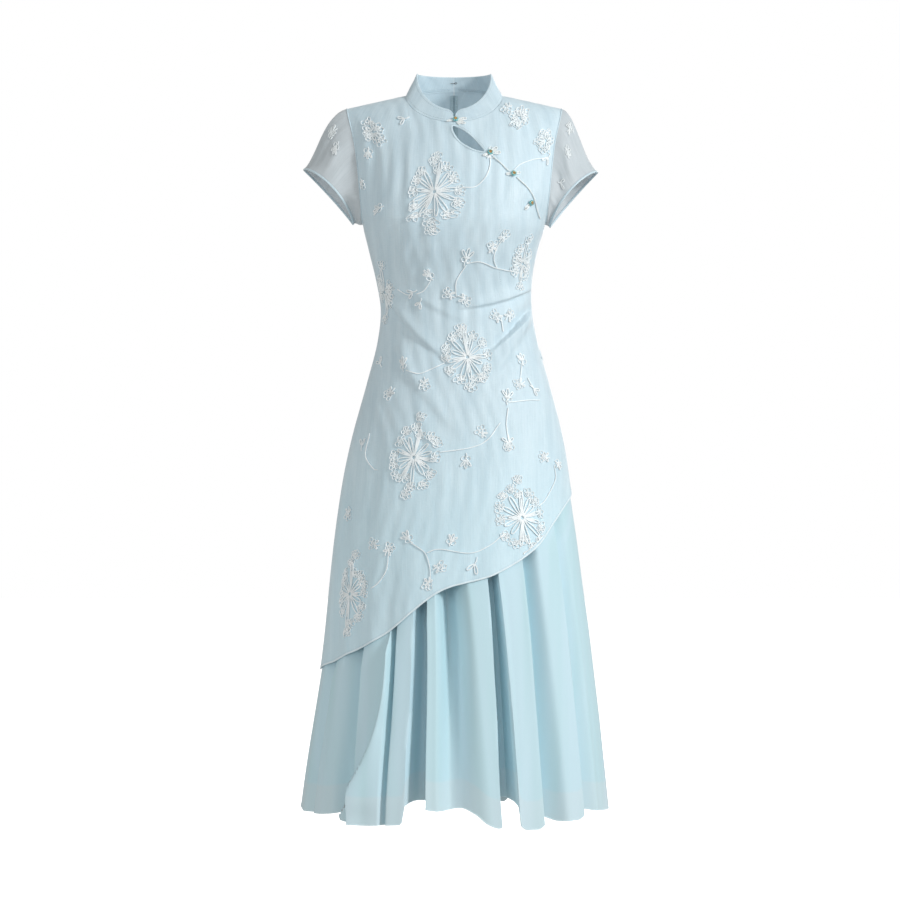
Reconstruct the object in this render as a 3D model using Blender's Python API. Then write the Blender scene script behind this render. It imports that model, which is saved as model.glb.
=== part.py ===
"""A pale blue a-line dress in the qipao style, as worn: a fitted bodice cut in one with a slanting
overlay, a stand collar, a slanting keyhole closing, short sheer sleeves and a fluted underskirt.

Metres. +Z is up, the front faces -Y and the wearer's left is +X. The origin is in the middle of
the neck, at the height of the shoulder seams' neck ends, where the wearer's shoulders carry it.
"""

import math

import bpy
import numpy as np

# Cloth and seams.
CLOTH = 0.0012
COLLAR_CLOTH = 0.0018
SHEER_CLOTH = 0.0010
SEAM = 0.0003
LAID_ON = 0.0004
FRONT, BACK = -1, 1

# Lengths down from the shoulder.
SHOULDER_DROP = 0.224
ARMHOLE_WIDEST = -0.155
UNDERARM = -0.205
HIP = -0.560
SKIRT_TOP = -0.500
SKIRT_HEM = -1.150

# Neck.
NECK_HALF_WIDTH = 0.0775
NECK_FRONT_DROP = 0.050
NECK_BACK_RISE = 0.0136
NAPE_FULLNESS = 0.075
COLLAR_HALF_WIDTH = 0.0595
COLLAR_FRONT = -0.062
COLLAR_BACK = 0.046
COLLAR_RISE = 0.0358
COLLAR_FRONT_RISE = -0.029
COLLAR_ROUNDING = 0.012
COLLAR_SPLIT = 0.0018

# Armholes: how far round the body the edge of a panel reaches there.
ARMHOLE_ANGLE = math.radians(62)

# Sections of the dress. Width is half of it, to the side seam or the armhole edge.
SECTION_COLUMNS = ("height", "width", "front", "back", "squareness")
SECTIONS = (
    (0.030, 0.1800, 0.088, 0.074, 2.0),
    (-0.024, 0.1710, 0.092, 0.084, 2.0),
    (-0.082, 0.1584, 0.102, 0.096, 2.0),
    (-0.155, 0.1500, 0.117, 0.100, 2.1),
    (-0.187, 0.1470, 0.121, 0.099, 2.3),
    (-0.205, 0.1456, 0.122, 0.097, 2.5),
    (-0.246, 0.1352, 0.115, 0.090, 2.3),
    (-0.290, 0.1256, 0.100, 0.082, 2.1),
    (-0.342, 0.1208, 0.090, 0.079, 2.1),
    (-0.390, 0.1270, 0.091, 0.086, 2.1),
    (-0.454, 0.1440, 0.102, 0.103, 2.1),
    (-0.550, 0.1694, 0.120, 0.126, 2.1),
    (-0.678, 0.1908, 0.141, 0.145, 2.1),
    (-0.806, 0.2070, 0.160, 0.162, 2.1),
    (-0.966, 0.2256, 0.180, 0.183, 2.1),
    (-1.126, 0.2450, 0.202, 0.205, 2.1),
    (-1.160, 0.2486, 0.206, 0.209, 2.1),
)

# How far the dress stands to its wearer's left at a height, as its wearer stands.
SWAY = (
    (0.050, 0),
    (-0.205, 0),
    (-0.250, -0.0014),
    (-0.300, 0.0004),
    (-0.342, 0.0036),
    (-0.400, 0.0056),
    (-0.550, 0.0054),
    (-0.620, 0.0036),
    (-0.750, 0.0042),
    (-0.870, 0.0064),
    (-0.970, 0.0050),
    (-1.060, 0.0026),
    (-1.160, 0.0008),
)

# The overlay's slanting edge across the front: degrees round from the centre front, height.
OVERLAY_HEM = (
    (-90, -0.915),
    (-60, -0.892),
    (-32, -0.851),
    (-6, -0.782),
    (15, -0.759),
    (37, -0.720),
    (60, -0.664),
    (90, -0.628),
)
OVERLAY_HEM_WIDTH = 0.0028
OVERLAY_HEM_CLOTH = 0.0020

# Waist pleats and drapes, each along a line across the front from its deep end, in metres.
PLEAT_COLUMNS = ("x0", "z0", "x1", "z1", "x2", "z2", "reach", "lift")
PLEATS = (
    (0.122, -0.308, 0.075, -0.333, 0.008, -0.347, 0.012, 0.0045),
    (0.123, -0.341, 0.092, -0.380, 0.050, -0.417, 0.013, 0.0055),
    (0.124, -0.352, 0.084, -0.422, 0.036, -0.478, 0.016, 0.0032),
    (-0.095, -0.345, -0.060, -0.401, 0.000, -0.436, 0.015, 0.0034),
    (-0.090, -0.425, -0.052, -0.494, 0.006, -0.545, 0.018, 0.0030),
)

# Troughs of the underskirt. Degrees round at the overlay and at the hem, spread in degrees,
# and depth at the overlay and at the hem.
FOLD_COLUMNS = ("angle", "hem_angle", "spread", "depth", "hem_depth")
FRONT_FOLDS = (
    (-68, -67, 4.0, 0.008, 0.016),
    (-49, -44, 4.6, 0.018, 0.028),
    (-27, -27, 3.0, 0.022, 0.012),
    (-15, -15.5, 3.2, 0.022, 0.036),
    (1, 2, 5.8, 0.018, 0.030),
    (18, 20, 3.0, 0.024, 0.038),
    (38, 37, 3.4, 0.018, 0.030),
    (57, 59, 4.4, 0.014, 0.026),
)
BACK_FOLDS = (
    (-66, -67, 4.2, 0.010, 0.022),
    (-46, -48, 4.4, 0.016, 0.032),
    (-28, -27, 3.4, 0.020, 0.034),
    (-9, -10, 4.6, 0.018, 0.034),
    (8, 9, 3.2, 0.018, 0.026),
    (25, 27, 4.4, 0.020, 0.036),
    (45, 46, 3.8, 0.018, 0.030),
    (66, 65, 4.4, 0.010, 0.024),
)

# The underskirt's hem, higher in its troughs: degrees round, height.
FRONT_HEM = (
    (-90, -1.137), (-68, -1.133), (-52, -1.135), (-44, -1.141), (-33, -1.143), (-21, -1.142),
    (-15.5, -1.111), (-10, -1.123), (0, -1.114), (5, -1.115), (10, -1.131), (15, -1.147),
    (20, -1.118), (25, -1.150), (30, -1.155), (37, -1.139), (43, -1.151), (50, -1.151),
    (60, -1.138), (75, -1.140), (90, -1.137),
)
BACK_HEM = (
    (-90, -1.137), (-78, -1.145), (-67, -1.136), (-57, -1.148), (-48, -1.132), (-37, -1.150),
    (-27, -1.128), (-18, -1.151), (-10, -1.126), (0, -1.150), (9, -1.132), (18, -1.152),
    (27, -1.127), (37, -1.149), (46, -1.133), (56, -1.148), (65, -1.136), (78, -1.144),
    (90, -1.137),
)

# Sleeves: side, how far out and down the cuff's outer end is, its inner end, and how far the
# sleeve runs on along the shoulder before it turns down.
SLEEVES = {
    "sleeve_right": (-1, 0.2425, -0.1185, 0.1620, -0.2065, 0.036),
    "sleeve_left": (1, 0.2300, -0.1225, 0.1545, -0.2110, 0.022),
}
CUFF_HALF_DEPTH = 0.054
CUFF_FRONT_RISE = 0.0135
CUFF_BACK_RISE = 0.0035
CUFF_WIDTH = 0.003
CUFF_CLOTH = 0.0018

# Keyhole: its two ends on the front, and how far its lower and upper edges bow from the chord.
KEYHOLE_TOP = (-0.0033, -0.0569)
KEYHOLE_END = (0.0469, -0.0990)
KEYHOLE_BOW_LOW = 0.0118
KEYHOLE_BOW_HIGH = 0.0063
KEYHOLE_BINDING = 0.0034
BINDING_CLOTH = 0.0012

# Beads of the closing at x, z on the front, each with its petals: degrees round, length, width.
BEAD_RADIUS = 0.0048
BEAD_HEIGHT = 0.0036
BEAD_LIFT = 0.0024
BEAD_EYE_RADIUS = 0.0022
BEAD_EYE_HEIGHT = 0.0010
PETAL_START = 0.0012
PETAL_CLOTH = 0.0015
FROGS = {
    "neck": (0.0016, -0.0475, ((8, 0.018, 0.0052), (-22, 0.017, 0.0050),
                               (-48, 0.0105, 0.0036), (188, 0.014, 0.0030))),
    "keyhole": (0.0547, -0.1012, ((38, 0.015, 0.0056), (2, 0.017, 0.0060),
                                  (206, 0.012, 0.0040))),
    "upper": (0.0915, -0.1341, ((15, 0.012, 0.0050), (182, 0.011, 0.0046))),
    "lower": (0.1192, -0.1787, ((-128, 0.014, 0.0056),)),
}
PIPING_CORD = 0.0011
PIPING = {
    "piping_upper": ((0.0600, -0.1075), (0.0720, -0.1185), (0.0862, -0.1305)),
    "piping_lower": ((0.0968, -0.1392), (0.1100, -0.1520), (0.1222, -0.1662),
                     (0.1295, -0.1850), (0.1345, -0.2010)),
}

# Centre back zip: tape inside, slider and pull outside. The pull turns about the bar at its top.
ZIP_BOTTOM = -0.470
ZIP_TOP = 0.008
ZIP_HALF_WIDTH = 0.006
ZIP_CLOTH = 0.0010
SLIDER_HEIGHT = -0.006
SLIDER_HALF = (0.0023, 0.0044, 0.0011)
BAIL_WIRE = 0.0004
BAIL_RADIUS = 0.0023
PULL_PIVOT = 0.00125
PULL_CLOTH = 0.0008
PULL_OUTLINE = ((0, -0.4), (1.1, -0.4), (1.8, 0), (2.2, 1.2), (2.4, 3.5), (2.8, 10), (3, 17),
                (2.2, 20.5), (0, 22))
PULL_HOLE = ((0, 0.4), (0.6, 0.4), (0.9, 0.8), (1, 1.4), (1, 1.9), (1, 2.4), (0.9, 2.9),
             (0.6, 3.2), (0, 3.3))
PULL_LIFT = 0.0012

# Hook and eye across the collar's ends at the back, inside.
HOOK_HEIGHT = 0.0275
HOOK_WIRE = 0.00035
EYE_PLACE = 0.0026
EYE_HALF = (0.0020, 0.0013)
HOOK_PATH = ((-0.0056, 0.00065), (-0.0018, 0.00065), (-0.0007, 0.0017), (0.0012, 0.0018),
             (0.0022, 0.0017), (0.0027, 0.0011))

MATERIALS = {
    "organza": ((0.50, 0.68, 0.75), 0.75, 0.0),
    "chiffon": ((0.45, 0.66, 0.73), 0.80, 0.0),
    "sheer": ((0.62, 0.70, 0.73), 0.80, 0.0),
    "binding": ((0.68, 0.82, 0.86), 0.70, 0.0),
    "cord": ((0.88, 0.90, 0.88), 0.60, 0.0),
    "bead": ((0.05, 0.33, 0.38), 0.25, 0.1),
    "bead_eye": ((0.75, 0.42, 0.10), 0.30, 0.8),
    "tape": ((0.50, 0.66, 0.72), 0.80, 0.0),
    "metal": ((0.10, 0.10, 0.11), 0.35, 0.9),
}


def table(rows, columns):
    """A table's rows as one array for each named column."""
    return dict(zip(columns, np.array(rows, float).T))


def smooth(x, xs, ys):
    """A smooth line through the points (xs, ys), read at x: a cubic with slopes from neighbours."""
    order = np.argsort(xs)
    xs, ys = np.asarray(xs, float)[order], np.asarray(ys, float)[order]
    x = np.clip(x, xs[0], xs[-1])
    step = np.diff(xs)
    rise = np.diff(ys) / step
    slope = np.concatenate([rise[:1], (rise[1:] * step[:-1] + rise[:-1] * step[1:]), rise[-1:]])
    slope[1:-1] /= step[:-1] + step[1:]
    i = np.clip(np.searchsorted(xs, x, side="right") - 1, 0, len(xs) - 2)
    t = (x - xs[i]) / step[i]
    left = (1 + 2 * t) * (1 - t) ** 2 * ys[i] + t * (1 - t) ** 2 * step[i] * slope[i]
    right = t * t * (3 - 2 * t) * ys[i + 1] + t * t * (t - 1) * step[i] * slope[i + 1]
    return left + right


SECTION = table(SECTIONS, SECTION_COLUMNS)


def section(column, z):
    return smooth(z, SECTION["height"], SECTION[column])


def sway(z):
    heights, offsets = zip(*SWAY)
    return smooth(z, heights, offsets)


def edge_angle(z):
    """How far round a panel reaches: 90 degrees at the side seam, less along the armhole."""
    down = np.clip((ARMHOLE_WIDEST - z) / (ARMHOLE_WIDEST - UNDERARM), 0, 1)
    return np.arccos(math.cos(ARMHOLE_ANGLE) * np.sqrt(1 - down**2))


def shoulder_height(x, face):
    """Height of the shoulder line at x. Inside the neck it is the crown that rounds the panel."""
    soft = 0.02
    line = SHOULDER_DROP * (math.hypot(NECK_HALF_WIDTH, soft) - np.sqrt(x**2 + soft**2))
    inside = np.clip(1 - (x / NECK_HALF_WIDTH) ** 2, 0, 1) ** 1.5
    return line + (NAPE_FULLNESS * inside if face == BACK else 0)


def neckline(x, face):
    """Height of the neck seam at x."""
    inside = np.clip(1 - (x / NECK_HALF_WIDTH) ** 2, 0, 1)
    return NECK_BACK_RISE * inside if face == BACK else -NECK_FRONT_DROP * np.sqrt(inside)


def on_body(u, z, face):
    """The cloth's outer face at height z and share u of the way from the centre to its edge.

    A section is a rounded oval, and over the shoulder it closes along a quarter of an ellipse.
    """
    power = 2 / section("squareness", z)
    reach = edge_angle(z)
    width = section("width", z) / np.sin(reach) ** power
    angle = u * reach
    x = width * np.sign(angle) * np.abs(np.sin(angle)) ** power
    up = (z - ARMHOLE_WIDEST) / (shoulder_height(x, face) - ARMHOLE_WIDEST)
    closing = np.sqrt(np.clip(1 - np.clip(up, 0, 1) ** 2, 0, 1))
    depth = section("front" if face == FRONT else "back", z)
    y = face * (depth * np.abs(np.cos(angle)) ** power * closing + SEAM / 2)
    return np.stack(np.broadcast_arrays(x, y, z), axis=-1)


def body_normals(u, z, face):
    """The direction out of the body at (u, z), from a small step along each way of its surface."""
    across = on_body(u + 0.004, z, face) - on_body(u - 0.004, z, face)
    down = on_body(u, z, face) - on_body(u, z - 0.0002, face)
    normal = np.cross(across, down)
    normal /= np.linalg.norm(normal, axis=-1, keepdims=True)
    return normal * np.sign((normal * on_body(u, z, face) * (1, 1, 0)).sum(axis=-1))[..., None]


def share_at(x, z):
    """The share u of a point at x on the body at height z."""
    power = 2 / section("squareness", z)
    reach = edge_angle(z)
    width = section("width", z) / np.sin(reach) ** power
    return np.sign(x) * np.arcsin(np.clip(np.abs(x) / width, 0, 1) ** (1 / power)) / reach


def overlay_hem(u, face):
    """Height of the overlay's slanting edge. The back slants plainly between the same ends."""
    angles, heights = zip(*OVERLAY_HEM)
    if face == FRONT:
        return smooth(u * 90, angles, heights)
    middle, half = (heights[0] + heights[-1]) / 2, (heights[-1] - heights[0]) / 2
    return middle + half * np.sin(u * math.pi / 2)


def pleat_lift(x, z):
    """How far the waist pleats raise the front, from each one's distance to its line."""
    lift = np.zeros(np.broadcast(x, z).shape)
    for row in PLEATS:
        p = dict(zip(PLEAT_COLUMNS, row))
        along = np.linspace(0, 1, 25)
        line_x = (1 - along) ** 2 * p["x0"] + 2 * along * (1 - along) * p["x1"] + along**2 * p["x2"]
        line_z = (1 - along) ** 2 * p["z0"] + 2 * along * (1 - along) * p["z1"] + along**2 * p["z2"]
        line_x = line_x - sway(line_z)
        away = np.hypot(x[..., None] - line_x, z[..., None] - line_z)
        near = away.argmin(axis=-1)
        fade = np.cos(along[near] * math.pi / 2) ** 0.7
        lift = np.maximum(lift, p["lift"] * fade * np.exp(-((away.min(axis=-1) / p["reach"]) ** 2)))
    return lift


def rounded_rows(even, top, face, steps):
    """(shares, heights) of the rows from the armhole's widest up to the shoulder or the neck."""
    inside = np.abs(top) < neck_share() - 1e-9
    z = np.full(top.shape, ARMHOLE_WIDEST / 2)
    for _ in range(30):
        x = on_body(top, z, face)[..., 0]
        z = np.where(inside, neckline(x, face), shoulder_height(x, face))
    share = (z - ARMHOLE_WIDEST) / (shoulder_height(x, face) - ARMHOLE_WIDEST)
    most = np.arcsin(np.clip(share, 0, 1))
    rows = []
    for step in steps:
        u = even + (top - even) * (0.25 + 0.75 * step)
        z = np.full(u.shape, ARMHOLE_WIDEST)
        for _ in range(30):
            crown = shoulder_height(on_body(u, z, face)[..., 0], face)
            z = ARMHOLE_WIDEST + (crown - ARMHOLE_WIDEST) * np.sin(step * most)
        rows.append((u, z))
    return rows


def neck_share():
    """The share u at which the neck meets the shoulder seam."""
    return float(share_at(np.array(NECK_HALF_WIDTH), np.array(0.0)))


def panel(face, columns, spans, hem_rows):
    """Outer points of a body panel and the ways out of it: slanting rows first, from the hem,
    then level rows, the armhole and the shoulder.
    """
    even, top = columns
    hem = overlay_hem(even, face)
    rows = [(even, hem + (HIP - hem) * k / hem_rows) for k in range(hem_rows)]
    for low, high, count in spans:
        rows += [(even, low + (high - low) * k / count) for k in range(count)]
    for k in range(4):
        drop = (UNDERARM - ARMHOLE_WIDEST) * math.cos(k * math.pi / 8)
        rows.append((even + (top - even) * k / 16, ARMHOLE_WIDEST + drop))
    rows += rounded_rows(even, top, face, np.linspace(0, 1, 7))
    points = np.array([on_body(u, z, face) for u, z in rows])
    away = np.array([body_normals(u, z, face) for u, z in rows])
    if face == FRONT:
        x, y, z = np.moveaxis(points, -1, 0)
        lift = pleat_lift(x, z) * side_fade(x, z)
        points = points + outward(points) * lift[..., None]
    return points, away


def side_fade(x, z):
    """1 on the panel, falling to 0 at the side seam, where front and back have to meet."""
    return np.clip((1 - np.abs(share_at(x, z))) / 0.10, 0, 1)


def outward(points):
    """The level direction away from the body at points on its oval sections."""
    x, y, z = np.moveaxis(points, -1, 0)
    depth = np.where(y < 0, section("front", z), section("back", z))
    away = np.stack([x / section("width", z) ** 2, y / depth**2, np.zeros_like(z)], axis=-1)
    return away / np.linalg.norm(away, axis=-1, keepdims=True)


def normals(points, closed=False):
    """Unit normals of a grid of points, pointing away from its middle."""
    if closed:
        ring = np.concatenate([points[:, -1:], points, points[:, :1]], axis=1)
        across = (ring[:, 2:] - ring[:, :-2]) / 2
    else:
        across = np.gradient(points, axis=1)
    along = np.gradient(points, axis=0)
    normal = np.cross(across, along)
    normal /= np.maximum(np.linalg.norm(normal, axis=-1, keepdims=True), 1e-12)
    middle = points.reshape(-1, 3).mean(axis=0)
    return normal if (normal * (points - middle)).sum() > 0 else -normal


def solid(name, outer, inner, material, closed=False):
    """A closed solid between two grids of points of the same size."""
    rows, columns = outer.shape[:2]
    index = np.arange(rows * columns).reshape(rows, columns)
    if closed:
        index = np.concatenate([index, index[:, :1]], axis=1)
    back = index + rows * columns
    faces = []
    for i in range(rows - 1):
        for j in range(index.shape[1] - 1):
            a, b, c, d = index[i, j], index[i, j + 1], index[i + 1, j + 1], index[i + 1, j]
            faces += [(a, b, c), (a, c, d)]
            a, b, c, d = back[i, j], back[i, j + 1], back[i + 1, j + 1], back[i + 1, j]
            faces += [(a, c, b), (a, d, c)]
    borders = [index[0], index[-1][::-1]]
    if not closed:
        borders += [index[::-1, 0], index[:, -1]]
    for border in borders:
        for a, b in zip(border[:-1], border[1:]):
            faces.append((b, a, a + rows * columns, b + rows * columns))
    points = np.concatenate([outer.reshape(-1, 3), inner.reshape(-1, 3)])
    return mesh_object(name, points, faces, material)


def mesh_object(name, points, faces, material):
    """A mesh object whose faces are turned to point out, moved by the dress's sway."""
    points = points + np.stack([sway(points[:, 2]), 0 * points[:, 2], 0 * points[:, 2]], axis=1)
    fan = [(f[0], f[i], f[i + 1]) for f in faces for i in range(1, len(f) - 1)]
    corners = points[np.array(fan)]
    volume = np.einsum("ij,ij->i", corners[:, 0], np.cross(corners[:, 1], corners[:, 2])).sum()
    if volume < 0:
        faces = [f[::-1] for f in faces]
    mesh = bpy.data.meshes.new(name)
    mesh.from_pydata(points.tolist(), [], [tuple(int(i) for i in f) for f in faces])
    mesh.shade_smooth()
    mesh.set_sharp_from_angle(angle=math.radians(50))
    mesh.materials.append(finish(material))
    piece = bpy.data.objects.new(name, mesh)
    bpy.context.scene.collection.objects.link(piece)
    return piece


def finish(name):
    """A Principled material by its name."""
    if name in bpy.data.materials:
        return bpy.data.materials[name]
    colour, roughness, metallic = MATERIALS[name]
    material = bpy.data.materials.new(name)
    material.use_nodes = True
    shader = material.node_tree.nodes["Principled BSDF"]
    shader.inputs["Base Color"].default_value = (*colour, 1)
    shader.inputs["Roughness"].default_value = roughness
    shader.inputs["Metallic"].default_value = metallic
    return material


def wall(name, outer, thickness, material, closed=False, keep=None, away=None):
    """A cloth wall inside a grid of outer points. keep limits the inner points at a seam."""
    away = normals(outer, closed) if away is None else away
    inner = outer - away * thickness
    if keep is not None:
        inner = keep(inner)
    return solid(name, outer, inner, material, closed)


def behind(face):
    """Keeps a wall's inner points on their own side of the side and shoulder seams."""

    def keep(points):
        points = points.copy()
        points[..., 1] = face * np.maximum(face * points[..., 1], SEAM / 2)
        return points

    return keep


def beside(side, face):
    """The same at the centre back as well."""

    def keep(points):
        points = behind(face)(points)
        points[..., 0] = side * np.maximum(side * points[..., 0], SEAM / 2)
        return points

    return keep


def half_columns(outside):
    """Shares u from the centre to the edge, level ones and those along the top edge."""
    turn = np.radians(NECK_TURNS)
    neck = share_at(NECK_HALF_WIDTH * np.sin(turn), np.zeros(len(turn)))
    top = np.concatenate([neck, np.linspace(neck[-1], 1, outside + 1)[1:]])
    return np.linspace(0, 1, len(top)), top


def front_columns():
    return [np.concatenate([-half[:0:-1], half]) for half in half_columns(8)]


def back_columns(side):
    return [side * half for half in half_columns(6)]


FRONT_SPANS = ((HIP, -0.445, 4), (-0.445, -0.295, 12), (-0.295, UNDERARM, 4))
BACK_SPANS = ((HIP, -0.425, 3), (-0.425, -0.275, 5), (-0.275, UNDERARM, 3))
ARMHOLE_ROWS = 11
NECK_TURNS = (0, 20, 40, 58, 74, 90)
NECK_STEPS = len(NECK_TURNS) - 1


def make_front():
    points, away = panel(FRONT, front_columns(), FRONT_SPANS, hem_rows=6)
    front = wall("front", points, CLOTH, "organza", keep=behind(FRONT), away=away)
    keyhole = front.modifiers.new("keyhole", "BOOLEAN")
    keyhole.object = make_keyhole_cutter()
    keyhole.solver = "EXACT"
    return points


def make_back(name, side):
    points, away = panel(BACK, back_columns(side), BACK_SPANS, hem_rows=5)
    points[:, 0, 0] = side * SEAM / 2
    wall(name, points, CLOTH, "organza", keep=beside(side, BACK), away=away)
    return points


def keyhole_edge(count=10, grow=0.0):
    """The keyhole's outline on the front as (x, z): two bowed edges between its ends."""
    start, end = np.array(KEYHOLE_TOP), np.array(KEYHOLE_END)
    chord = end - start
    across = np.array([chord[1], -chord[0]]) / np.linalg.norm(chord)
    t = np.linspace(0, 1, count + 1)
    bow = np.sin(math.pi * t**0.85) ** 0.8
    bow[[0, -1]] = 0
    low = start + t[:, None] * chord + across * (KEYHOLE_BOW_LOW * bow)[:, None]
    high = start + t[:, None] * chord - across * (KEYHOLE_BOW_HIGH * bow)[:, None]
    edge = np.concatenate([low, high[-2:0:-1]])
    if not grow:
        return edge
    tangent = np.roll(edge, -1, axis=0) - np.roll(edge, 1, axis=0)
    normal = np.stack([tangent[:, 1], -tangent[:, 0]], axis=1)
    normal /= np.linalg.norm(normal, axis=1, keepdims=True)
    if (normal * (edge - edge.mean(axis=0))).sum() < 0:
        normal = -normal
    return edge + normal * grow


def make_keyhole_cutter():
    edge = keyhole_edge()
    near = np.stack([edge[:, 0], np.full(len(edge), -0.14), edge[:, 1]], axis=1)
    far = near + (0, 0.10, 0)
    n = len(edge)
    faces = [tuple(range(n)), tuple(range(2 * n - 1, n - 1, -1))]
    faces += [(i, (i + 1) % n, n + (i + 1) % n, n + i) for i in range(n)]
    cutter = mesh_object("keyhole_cutter", np.concatenate([near, far]), faces, "organza")
    cutter.hide_render = True
    cutter.display_type = "WIRE"
    return cutter


def on_front(x, z):
    """Points of the front's outer face at (x, z), and its normals there."""
    x, z = np.broadcast_arrays(np.asarray(x, float), np.asarray(z, float))
    step = 0.002

    def at(x, z):
        return on_body(share_at(x, z), z, FRONT)

    point = at(x, z)
    across = at(x + step, z) - at(x - step, z)
    up = at(x, z + step) - at(x, z - step)
    normal = np.cross(across, up)
    normal /= np.linalg.norm(normal, axis=-1, keepdims=True)
    return point, np.where(normal[..., 1:2] > 0, -normal, normal)


def make_keyhole_binding():
    rings = [keyhole_edge(8, grow) for grow in (0.0004, KEYHOLE_BINDING)]
    grid, lift = zip(*(on_front(ring[:, 0], ring[:, 1]) for ring in rings))
    grid, lift = np.array(grid), np.array(lift)
    outer = grid + lift * (LAID_ON + BINDING_CLOTH)
    inner = grid + lift * LAID_ON
    solid("keyhole_binding", outer, inner, "binding", closed=True)


def neck_seam(front_points, back_points, steps=2):
    """The neck seam from the centre front to the centre back, along the panels' own edges."""
    middle = front_points.shape[1] // 2
    front = front_points[-1, middle:middle + NECK_STEPS + 1]
    back = back_points[-1, NECK_STEPS - 1::-1] * (np.sign(back_points[-1, 1, 0]), 1, 1)
    edge = np.concatenate([front, back])
    edge[NECK_STEPS, 1] = 0
    at = np.linspace(0, len(edge) - 1, steps * (len(edge) - 1) + 1)
    return np.stack([np.interp(at, np.arange(len(edge)), c) for c in edge.T], axis=1)


def collar_top(angle):
    """The collar's top edge, level behind and dipping to the front along a slanting plane."""
    front = np.cos(angle) > 0
    y = np.where(front, COLLAR_FRONT, -COLLAR_BACK) * np.cos(angle)
    dip = np.where(front, (COLLAR_RISE - COLLAR_FRONT_RISE) * np.cos(angle), 0)
    return np.stack([COLLAR_HALF_WIDTH * np.sin(angle), y, COLLAR_RISE - dip], axis=-1)


def make_collar(name, side, front_points, back_points):
    """Half of the stand collar, from the centre front to the centre back, its front corner round."""
    base = neck_seam(front_points, back_points)
    top = collar_top(np.linspace(0, math.pi, len(base)))
    up = (top - base) / np.linalg.norm(top - base, axis=1, keepdims=True)
    base = base + up * 2 * SEAM
    along = np.concatenate([[0], np.cumsum(np.linalg.norm(np.diff(top, axis=0), axis=1))])
    corner = np.clip(1 - along / COLLAR_ROUNDING, 0, 1)
    height = 0.30 + 0.70 * np.sqrt(1 - corner**2)
    shares = np.linspace(0, 1, 4)[:, None, None]
    outer = base + (top - base) * height[None, :, None] * shares
    outer[..., 0] = np.maximum(outer[..., 0], COLLAR_SPLIT / 2)
    outer[:, -1, 0] = SEAM / 2
    outer[..., 0] *= side
    normal = normals(outer) * (1, 1, 0)
    normal /= np.linalg.norm(normal, axis=-1, keepdims=True)
    if (normal * outer).sum() < 0:
        normal = -normal
    inner = outer - normal * COLLAR_CLOTH
    least = np.full(outer.shape[:2], COLLAR_SPLIT / 2)
    least[:, -1] = SEAM / 2
    inner[..., 0] = side * np.maximum(side * inner[..., 0], least)
    solid(name, outer, inner, "organza")


def armhole(side, front_points, back_points):
    """The armhole as a loop from the shoulder, down the front, under the arm and up the back."""
    down = front_points[-ARMHOLE_ROWS:, -1 if side > 0 else 0][::-1]
    up = back_points[-ARMHOLE_ROWS:, -1]
    loop = np.concatenate([down, up[1:-1]])
    loop[0, 1] = 0
    loop[len(down) - 1, 1] = 0
    return loop


def cuff_ring(name, count, back_off=0.0):
    """The cuff's edge, a slanting oval that rises in front, and the way out of the sleeve."""
    side, tip_x, tip_z, inner_x, inner_z, _ = SLEEVES[name]
    turn = np.linspace(0, 2 * math.pi, count, endpoint=False)[:, None]
    tip, low = np.array([side * tip_x, 0, tip_z]), np.array([side * inner_x, 0, inner_z])
    half = (tip - low) / 2
    out = np.array([side * abs(half[2]), 0, -abs(half[0])]) / np.linalg.norm(half)
    ring = (tip + low) / 2 + half * np.cos(turn)
    ring = ring + np.array([0, -CUFF_HALF_DEPTH, 0]) * np.sin(turn)
    front, back = np.clip(np.sin(turn), 0, 1) ** 1.5, np.clip(-np.sin(turn), 0, 1) ** 1.5
    rise = CUFF_FRONT_RISE * front + CUFF_BACK_RISE * back
    return ring - out * (rise + back_off), out, (1 + np.cos(turn)) / 2


def make_sleeve(name, front_points, back_points):
    """A short sleeve and its bound edge. Each line of it is a curve from armhole to cuff."""
    side, cap = SLEEVES[name][0], SLEEVES[name][-1]
    loop = armhole(side, front_points, back_points)
    cuff, out, over = cuff_ring(name, len(loop), CUFF_WIDTH + SEAM)
    leave = np.array([side * 0.977, 0, -0.215]) * over + out * (1 - over)
    reach = np.linalg.norm(cuff - loop, axis=1)[:, None]
    start = loop + leave * 2 * SEAM
    start[:, 2] += 2 * SEAM * (1 - over[:, 0])
    first = start + leave * np.minimum(cap, reach * 0.4)
    last = cuff - out * np.minimum(0.030, reach * 0.35)
    s = np.linspace(0, 1, 7)[:, None, None]
    rings = (1 - s) ** 3 * start + 3 * s * (1 - s) ** 2 * first
    rings = rings + 3 * s * s * (1 - s) * last + s**3 * cuff
    away = rings - rings.mean(axis=1, keepdims=True)
    away = away / np.linalg.norm(away, axis=-1, keepdims=True) + 0.6 * normals(rings, closed=True)
    away /= np.linalg.norm(away, axis=-1, keepdims=True)
    wall(name, rings, SHEER_CLOTH, "sheer", closed=True, away=away)
    edge = np.array([cuff + out * SEAM, cuff + out * (SEAM + CUFF_WIDTH)])
    outer = edge + normals(edge, closed=True) * (CUFF_CLOTH - SHEER_CLOTH) / 2
    wall(name + "_binding", outer, CUFF_CLOTH, "binding", closed=True)


def make_overlay_hem(name, face, columns, side=0):
    """The rolled edge of the overlay, just below the cloth's own edge."""
    u = np.asarray(columns, float)
    hem = overlay_hem(u, face)
    rows = [on_body(u, hem - SEAM - drop, face) for drop in (OVERLAY_HEM_WIDTH, 0)]
    points = np.array(rows)
    points = points + outward(points) * (OVERLAY_HEM_CLOTH - CLOTH) / 2 * np.cos(u * 1.5)[:, None]
    keep = behind(face)
    if side:
        points[:, 0, 0] = side * SEAM / 2
        keep = beside(side, face)
    wall(name, points, OVERLAY_HEM_CLOTH, "binding", keep=keep)


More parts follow.
